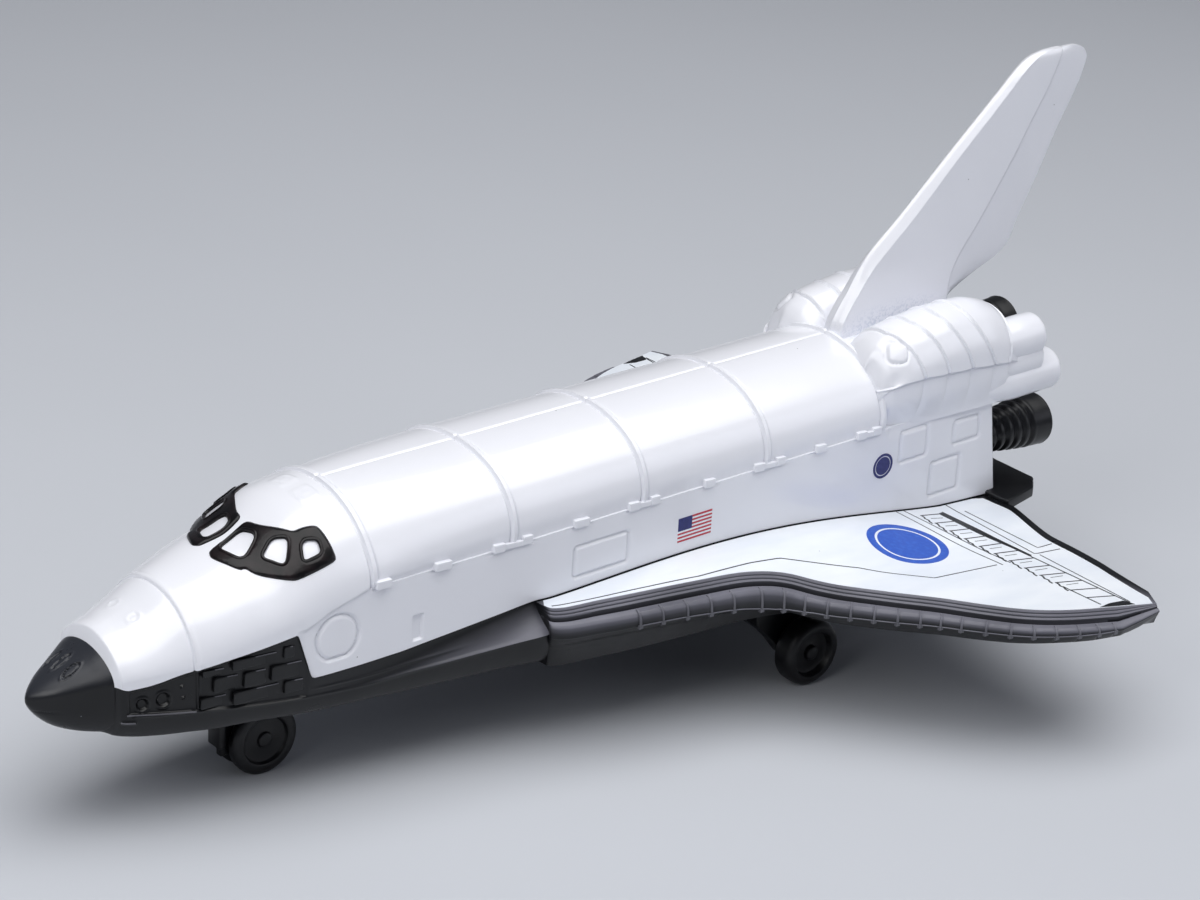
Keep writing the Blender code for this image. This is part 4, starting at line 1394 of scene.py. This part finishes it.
def wingGrid():
    rows, outward, at = wingFrame(420)
    edge = rounded(wings["edge"], 1, closed=False, keep=0.16)
    bounds = ribRuns(rows, outward, at)
    floorLevel, footDrop = layout["wingFloor"], wings["edgeFoot"]
    # the under side stays a hair apart from the floor line, so that no two faces are level
    least = floorLevel + 0.02 * (footDrop - 1 - np.minimum(edge[:, 1], footDrop - 1))
    onPanel = smoothStep(edge[:, 0], 14, 18) * smoothStep(footDrop - edge[:, 1], 0, 8)
    rings = []
    for (station, side, farStation, farSide), out, run in zip(rows, outward, at):
        share = max(tipShare(station), 0.05)
        reach, drop = edgeReach(edge, station, share)
        pillow = panelPillow(run, bounds) * onPanel * share
        reach, drop = reach + pillow * 0.7, drop - pillow * 0.5
        level = np.maximum(deckHeight(station, side) - drop, least)
        outer = np.column_stack((station + out[0] * reach, side + out[1] * reach, level))
        atRoot = smoothStep(farSide, 107.5, 125)
        farStation += wings["trail"] * atRoot
        length = math.hypot(farStation - station, farSide - side)
        parts = np.append(np.linspace(0, 1 - min(1.4 / length, 0.04), 14), 1)
        onStation, onSide = station + (farStation - station) * parts, side + (farSide - side) * parts
        top = np.column_stack((onStation, onSide, deckHeight(onStation, onSide)))
        top[-1, 2] -= 1.4 * atRoot
        underSide = min(farSide, layout["hullHalf"]) if farSide < 108 else farSide
        under = np.array([
            (farStation + 0.3 * atRoot, farSide, top[-1, 2] - 8 * atRoot - 4),
            (farStation - 1, farSide, floorLevel + 3), (farStation - 3, underSide, floorLevel),
        ])
        inner = np.linspace(0.15, 0.85, 6)[:, None]
        floor = under[-1] * (1 - inner) + np.append(outer[-1, :2], floorLevel) * inner
        rings.append(np.concatenate((top[::-1], outer, floor[::-1], under[::-1])))
    return np.array(rings)


def edgeReach(edge, station, share):
    # the edge's reach and drop, thinner below its band towards the tip
    lower, face = (readTable(wings[key], station) for key in ("lower", "face"))
    out, start = wings["panelLine"]
    middle, end = wings["panelFoot"], wings["edgeFoot"]
    reach, drop = edge.T
    reach = np.where(reach > out, out * share + (reach - out) * min(lower, share * 1.6), reach * share)
    foot = start * share + face - start
    last = max(start * share + (end - start) * lower, foot + 2)
    return reach, np.interp(drop, (0, start, middle, end), (0, start * share, foot, last))


def ribRuns(rows, outward, at):
    # runs along the leading edge at which its ribs stand
    line = rows[:, 0] + outward[:, 0] * wings["ribLine"]
    return np.interp(wings["ribs"], line, at)


def panelPillow(run, bounds):
    # how far a leading edge panel bulges between its ribs
    if run < bounds[0] or run > bounds[-1]:
        return 0.0
    k = min(max(int(np.searchsorted(bounds, run)) - 1, 0), len(bounds) - 2)
    part = (run - bounds[k]) / (bounds[k + 1] - bounds[k])
    return wings["pillow"] * (1 - (2 * part - 1) ** 8)


def wingRibPaths():
    # port paths, in inches: a rib down each joint of the panels, and the lip along their lower edge
    rows, outward, at = wingFrame(600)
    edge = rounded(wings["edge"], 2, closed=False)
    onPanel = edge[((edge[:, 0] > 13.5) | (edge[:, 1] > 20)) & (edge[:, 1] < 27.3)]
    bounds = ribRuns(rows, outward, at)

    def onEdge(run, points, proud):
        station, side, ahead, out = (np.interp(run, at, column) for column in (*rows[:, :2].T, *outward.T))
        reach, drop = edgeReach(points, station, tipShare(station))
        pillow = panelPillow(run, bounds)
        reach = reach + proud + pillow * 0.7
        return np.column_stack((
            station + ahead * reach, side + out * reach, deckHeight(station, side) - drop + pillow * 0.5,
        ))

    lipPoint = np.array([(23.9, 26.4)])
    lip = np.concatenate([onEdge(run, lipPoint, 0.1) for run in np.arange(bounds[0], bounds[-1], 2.5)])
    return [onEdge(run, onPanel, 0.9) for run in bounds], lip


deckEdge = {
    "lift": 0.35,
    "depth": 0.8,
    "inset": 0.5,  # from the leading edge
    "root": 108.6,
    "tail": 10.5,  # bare strip along the trailing edge
}


def deckGrid():
    # the printed white skin: a thin sheet that follows the wing's deck
    rings = []
    for station, side, farStation, farSide in wingFrame(150)[0][2:-1]:
        reach = farStation - station
        start = deckEdge["inset"] / max(math.hypot(reach, farSide - side), 1)
        cut = deckEdge["tail"] * (1.0 if farSide > 108 else smoothStep(farStation, 1460, 1487))
        part = np.linspace(start, 1 - cut / max(reach, cut * 1.2), 34)
        onSide = np.maximum(side + (farSide - side) * part, deckEdge["root"])
        onStation = station + reach * part
        upper = np.column_stack((onStation, onSide, deckHeight(onStation, onSide)))
        lower = upper - (0, 0, deckEdge["depth"])
        rings.append(np.concatenate((upper + (0, 0, deckEdge["lift"]), lower[::-1])))
    return np.array(rings)


def makeWings():
    addPiece("wings", bothSides([gridSolid(wingGrid())]), "black", "base_moulding", sharp=30)
    # the ribs, the panels' lower lip, and a small square foot below each rib, in grey as painted highlights
    portRibs, portLip = wingRibPaths()
    ribs, lips, feet = [], [], []
    for hand in (1, -1):
        placed = [placeAll(rib * (1, hand, 1)) for rib in portRibs]
        ribs += placed
        lips.append(placeAll(portLip * (1, hand, 1)))
        ends = [Vector(path[-1]) for path in placed]
        for before, here, after in zip(ends[:1] + ends, ends, ends[1:] + ends[-1:]):
            feet.append((here, before - after, (0, hand, -0.3), wings["footSize"]))
    addBeads("leadingEdgeRibs", ribs, 1.6, "paintedHighlight", "base_moulding")
    addBeads("panelLips", lips, 0.8, "paintedHighlight", "base_moulding", sides=6)
    addBlocks("ribFeet", feet, "paintedHighlight", "base_moulding", detail=0)
    addPiece("deckPrint", bothSides([gridSolid(deckGrid())]), "deck", "base_moulding")
    print("wings ready")


makeWings()


# Printed lines, bands and discs

prints = {
    "lineWidth": 1.5,
    "rungWidth": 1.9,
    "rearRailWidth": 2.0,
    "strokeWidth": 0.9,
    "scallopWidth": 2.3,
    "lift": 0.55,
    "flankLift": 0.35,
    "depth": 0.9,  # how deep a print on the deck reaches below its face
    "flankDepth": 0.8,
    "lines": (
        ((1333.7, 109), (1344, 272)),
        ((1346.8, 109), (1353, 190), (1357, 272)),
        ((1417.8, 109), (1403.7, 266.5), (1442.9, 269.6)),
        ((1426, 132.6), (1421, 255), (1445.7, 254)),
        ((1407, 271), (1398, 416.6)),
        ((802, 124), (859.5, 135), (921.7, 145), (985.7, 154), (1057.7, 156), (1099, 160.5), (1180, 206),
         (1243, 263), (1337.5, 269)),
    ),
    "rails": (((1357.5, 123.5), (1361, 406)), ((1390.9, 125.6), (1395.8, 418.6))),
    "frontRailStart": 0.8,  # the front rail is drawn only from this share of its length
    "rungs": 12,
    "bays": 10,  # bays between the rungs that have a scallop in front and a stroke
    "darkBand": (
        (1387, 127), (1387, 190), (1390.5, 228), (1394.4, 268), (1397, 268), (1397, 222), (1398, 181),
        (1397, 124),
    ),
    "tipPatch": ((1354, 411), (1373, 408.5), (1393, 411), (1398, 424.5), (1385, 421), (1368, 416)),
    # centre, radius, radius of the blue inside its white ring as a share
    "wingDisc": ((1279, 183), 47.8, 0.74),
    "flankDisc": ((1307, 369), 15.5, 0.72),
    "ring": 0.8,  # the white ring's outer radius as a share
    "flag": (993, 1042, 355, 384),  # from station, to station, low, high
    "flagCorner": (20, 7),  # length in inches, height in stripes
    "stripes": 13,
}


def deckStrip(path, width, lift=prints["lift"]):
    # a thin printed strip that follows the deck along a path of (station, side)
    path = resample(path, 5.0)
    heading = unit(np.gradient(path, axis=0))
    across = np.column_stack((-heading[:, 1], heading[:, 0])) * width / 2
    edges = (path + across, path - across)
    left, right = (np.column_stack((edge, deckHeight(*edge.T) + lift)) for edge in edges)
    down = (0, 0, prints["depth"])
    return gridSolid(np.stack((left, right, right - down, left - down), axis=1))


def deckPatch(outline, holes=(), lift=prints["lift"]):
    def sheet(offset):
        return lambda flat: np.column_stack((flat, deckHeight(*flat.T) + offset))

    return patchSolid(outline, holes, 6.0, sheet(lift - prints["depth"]), sheet(lift))


def flankPatch(outline, holes=()):
    def sheet(offset):
        side = layout["hullHalf"] + prints["flankLift"] + offset
        return lambda flat: np.column_stack((flat[:, 0], np.full(len(flat), side), flat[:, 1]))

    return patchSolid(outline, holes, 8.0, sheet(-prints["flankDepth"]), sheet(0))


def circle(centre, radius, count=72):
    turn = 2 * np.pi * np.arange(count) / count
    return np.column_stack((centre[0] + radius * np.cos(turn), centre[1] + radius * np.sin(turn)))


def disc(patch, centre, radius, inner):
    # a blue disc in a white ring in a blue ring; the white is the ground's
    ring = circle(centre, radius * prints["ring"])
    return [patch(circle(centre, radius), [ring]), patch(circle(centre, radius * inner))]


def makePrints():
    frontRail, rearRail = (np.array(rail, float) for rail in prints["rails"])
    frontRun, rearRun = frontRail[1] - frontRail[0], rearRail[1] - rearRail[0]
    rungs, rungWidth = prints["rungs"], prints["rungWidth"]
    lines = [deckStrip(path, prints["lineWidth"]) for path in prints["lines"]]
    lines.append(deckStrip(rearRail, prints["rearRailWidth"]))
    lines.append(deckStrip([frontRail[0] + frontRun * prints["frontRailStart"], frontRail[1]], rungWidth))
    fronts = []
    for k in range(rungs):
        part = (k + 0.1) / rungs
        fronts.append(frontRail[0] + frontRun * part)
        lines.append(deckStrip([fronts[k], rearRail[0] + rearRun * part], rungWidth))
        if k < prints["bays"]:
            # a short thin stroke stands in each bay, shorter than the rungs
            middle = fronts[k] + frontRun * 0.45 / rungs
            lines.append(deckStrip([middle + (7, 0), middle + (24, 3)], prints["strokeWidth"]))
    # scallops join the rungs' front ends like saw teeth
    part = np.linspace(0, 1, 13)[:, None]
    for front, after in zip(fronts[:prints["bays"]], fronts[1:]):
        scallop = front + (after - front) * part
        scallop[:, 0] += 1.5 - 5.5 * part[:, 0] + 1.3 * np.sin(4 * np.pi * part[:, 0])
        lines.append(deckStrip(scallop, prints["scallopWidth"], prints["lift"] + 0.05))
    lines += [deckPatch(prints[key], lift=prints["lift"] + 0.1) for key in ("darkBand", "tipPatch")]
    addPiece("deckLines", bothSides(lines), "blackInk", "base_moulding")
    addPiece("wingDiscs", bothSides(disc(deckPatch, *prints["wingDisc"])), "blueInk", "base_moulding")

    front, rear, low, high = prints["flag"]
    stripe = (high - low) / prints["stripes"]
    cornerLength, cornerStripes = prints["flagCorner"]

    def bar(start, end, top, bottom):
        return flankPatch([(start, top), (end, top), (end, bottom), (start, bottom)])

    navy = disc(flankPatch, *prints["flankDisc"])
    navy.append(bar(front, front + cornerLength, high, high - cornerStripes * stripe))
    bars = []
    for k in range(prints["stripes"]):
        start = front + cornerLength if k < cornerStripes else front
        bars.append(bar(start, rear, high - k * stripe, high - (k + 1) * stripe))
    addPiece("flankDiscs", bothSides(navy), "navyInk", "body_casting")
    addPiece("flagStripes", bothSides(bars[::2]), "redInk", "body_casting")
    addPiece("flagGround", bothSides(bars[1::2]), "whiteInk", "body_casting")
    print("prints ready")


makePrints()


# Bells, flap and gear

gear = {
    "bells": {
        # centre's side and height, length, length of the stem inside the hull
        "engine_bell_top": (0, 448, 108, 22),
        "engine_bell_port": (53, 335, 128, 3),
        "engine_bell_starboard": (-53, 335, 128, 3),
    },
    "bellThroat": (21.5, 32.6),  # outer radius of a bell at its throat and at its mouth
    "bellGrooves": (0.34, 0.44, 0.54, 0.64, 0.74),
    # a bell's outer shape ahead of the throat and at the mouth, then its inner face, in shares of the length
    "bellNeck": ((0.2, 13), (0.21, 18), (0.225, 20.5), (0.26, 21.5)),
    "bellMouth": (
        (0.985, 33), (0.997, 32.6), (1, 31.6), (0.997, 30.6), (0.97, 29.8), (0.8, 28), (0.6, 25), (0.47, 20),
        (0.42, 13), (0.4, 7), (0.392, 2.5), (0.39, 0),
    ),
    # corners of the port half (station, side)
    "flap": ((1440, 100), (1488, 100), (1490, 142), (1546, 130.5), (1566.5, 111)),
    "flapHeights": (277, 291),
    "noseWeb": ((462, 532, 4.4, 209), (456, 465, 11, 222)),  # from station, to station, half width, foot
    "noseWebTop": 300,
    # height, reach ahead of the main axle and behind it, of each section of a main strut
    "strut": ((171, 14, 12), (196, 34, 16), (222, 60, 22), (290, 75, 30)),
    "strutSides": (100, 120),
    "wheels": {
        # place of the axle, inner side, width, and how far the axle's end lies inside the wheel
        "nose": (layout["noseAxle"], 6, 16, 2),
        "main": (layout["mainAxle"], 125, 30, 4),
    },
    # across the wheel in shares of its width, then radius: blind bore, tread, rim, dish and hub
    "wheelShape": (
        (0.0, 30), (0.02, 33), (0.07, 36.4), (0.15, 38.8), (0.24, 39.7), (0.34, 40), (0.68, 40),
        (0.78, 39.6), (0.87, 38.5), (0.94, 36.8), (0.985, 34.6), (1.0, 32.8), (1.0, 29.6), (0.985, 28.4),
        (0.95, 27.6), (0.8, 26.6), (0.73, 25.6), (0.7, 23.6), (0.69, 19), (0.69, 10.5), (0.71, 9.2),
        (0.8, 8.6), (0.88, 8), (0.915, 6.8), (0.93, 5), (0.94, 2.5), (0.942, 0),
    ),
    "boreDepth": 0.89,
    # the axle's rounded ends: back from the end, less than its radius
    "axleEnd": ((2.4, 0), (1.2, 0.5), (0.4, 1.6), (0, 3.4)),
}


def bellProfile(length, stem):
    throat, mouth = gear["bellThroat"]
    along = np.linspace(0.28, 0.97, 70)
    radius = throat + (mouth - throat) * (1 - (1 - (along - 0.26) / 0.74) ** 1.6)
    for groove in gear["bellGrooves"]:
        away = (along - groove) * length
        radius = radius - 2.2 * hump(away, 2.4) + 0.5 * hump(away - 5, 2.2)
    shares = (*gear["bellNeck"], *zip(along, radius), *gear["bellMouth"])
    return [(-stem, 0), (-stem, 13), (0.5, 13)] + [(share * length, size) for share, size in shares]


def wheelProfile(width):
    bore = layout["axleRadius"] + gap * 0.4
    shape = ((gear["boreDepth"], 0), (gear["boreDepth"], bore), (0.0, bore)) + gear["wheelShape"]
    return [(share * width, size) for share, size in shape]


def makeGear():
    lofts = []
    for start, end, half, foot in gear["noseWeb"]:
        plan = ((end, -half), (start, -half), (start, half), (end, half))
        lofts.append([[(*spot, level) for spot in plan] for level in (foot, gear["noseWebTop"])])
    near, far = gear["strutSides"]
    for hand in (1, -1):
        loops = []
        for height, ahead, behind in gear["strut"]:
            front, rear = layout["mainAxle"][0] - ahead, layout["mainAxle"][0] + behind
            plan = ((front, near), (rear, near), (rear, far), (front, far))
            loops.append([(station, hand * side, height) for station, side in plan])
        lofts.append(loops)
    hangPiece("axleCarriers", bevelledMesh(lofts, 1.8), "black", "base_moulding")
    plan = [*gear["flap"], *((station, -side) for station, side in reversed(gear["flap"]))]
    flap = [[(*spot, level) for spot in plan] for level in gear["flapHeights"]]
    hangPiece("bodyFlap", bevelledMesh([flap], 2.0), "black", "base_moulding")

    for name, (side, height, length, stem) in gear["bells"].items():
        start = (layout["hullRear"] + gap, side, height)
        bell = turnedSolid(bellProfile(length, stem), start, (1, 0, 0), 72)
        addPiece(name + "_shell", [bell], "black", name, placed=True, sharp=45)
    for prefix, ((station, height), inner, width, inset) in gear["wheels"].items():
        body, centre = prefix + "_wheels", (station, 0, height)
        for sideName, hand in (("port", 1), ("starboard", -1)):
            profile = [(hand * (inner + along), radius) for along, radius in wheelProfile(width)]
            wheel = turnedSolid(profile, centre, (0, 1, 0), 72)
            node = prefix + "_wheel_" + sideName
            addPiece(node + "_turned", [wheel], "wheel", node, body, 30, True)
        half = inner + width - inset
        end = [(half - back, layout["axleRadius"] - less) for back, less in gear["axleEnd"]] + [(half, 0)]
        start = [(-along, radius) for along, radius in reversed(end)]
        axle = turnedSolid(start + end, centre, (0, 1, 0), 40)
        addPiece(prefix + "Axle", [axle], "steel", prefix + "_axle", body, placed=True)
    for node in ("rivet_front", "rivet_rear"):
        frame["nodes"][node].data.materials.clear()
        frame["nodes"][node].data.materials.append(looks["steel"][0])
    print("bells, flap and gear ready")


makeGear()


# Studio

studio = {
    # the photograph's camera: station, side and height of its eye, then its turn, tilt and roll in degrees
    "eye": (-1191.194, 2479.326, 1913.261),
    "aim": (-131.017, -24.237, 3.225),
    "lens": 97.649,
    "sensor": 36,
    "nearest": 0.01,
    "floorHalf": 3.0,
    # softboxes: place, target, width and depth in metres, watts, colour
    "lights": {
        "overheadSoftbox": ((0.0, 0.05, 0.40), (0.005, 0, 0.02), (0.60, 0.40), 1.95, "#FFFFFF"),
        "keySoftbox": ((0.36, 0.10, 0.26), (0, 0, 0.02), (0.2, 0.2), 0.45, "#FFFFFF"),
        "rearSoftbox": ((-0.30, 0.36, 0.22), (0, 0, 0.02), (0.34, 0.22), 0.24, "#F2F4FF"),
    },
    "sky": ("#D4D9E6", 0.17),
}


def direction(along, side, up):
    return (placeOne(-along * 1000, side * 1000, up * 1000) - placeOne(0, 0, 0)).normalized()


def makeCamera():
    turn, tilt, roll = (math.radians(angle) for angle in studio["aim"])
    forward = np.array((math.cos(tilt) * math.cos(turn), math.cos(tilt) * math.sin(turn), math.sin(tilt)))
    level = unit(np.cross(forward, (0, 0, 1)))
    upright = np.cross(level, forward)
    right = math.cos(roll) * level + math.sin(roll) * upright
    up = -math.sin(roll) * level + math.cos(roll) * upright
    columns = [direction(*right), direction(*up), -direction(*forward), placeOne(*studio["eye"])]
    data = bpy.data.cameras.new("studioCamera")
    data.sensor_width = studio["sensor"]
    data.lens = studio["lens"]
    data.clip_start = studio["nearest"]
    camera = newObject("studioCamera", data)
    camera.matrix_world = Matrix([[column[k] for column in columns] for k in range(3)] + [[0, 0, 0, 1]])
    bpy.context.scene.camera = camera


def makeFloor():
    size = studio["floorHalf"]
    mesh = bpy.data.meshes.new("paperFloor")
    corners = [(-size, -size, 0), (size, -size, 0), (size, size, 0), (-size, size, 0)]
    mesh.from_pydata(corners, [], [(0, 1, 2, 3)])
    mesh.materials.append(palePaper())
    newObject("paperFloor", mesh)


def softLight(name, place, target, size, watts, colour):
    data = bpy.data.lights.new(name, "AREA")
    data.shape = "RECTANGLE"
    data.size, data.size_y = size
    data.energy = watts
    data.color = linear(colour)[:3]
    light = newObject(name, data)
    light.location = place
    light.rotation_euler = (Vector(target) - Vector(place)).to_track_quat("-Z", "Y").to_euler()


def makeStudio():
    makeCamera()
    makeFloor()
    for name, settings in studio["lights"].items():
        softLight(name, *settings)
    colour, strength = studio["sky"]
    world = bpy.data.worlds.new("studioWorld")
    world.use_nodes = True
    background = world.node_tree.nodes["Background"]
    background.inputs["Color"].default_value = linear(colour)
    background.inputs["Strength"].default_value = strength
    bpy.context.scene.world = world
    bpy.context.scene.view_settings.view_transform = "Standard"
    print("studio ready")


makeStudio()
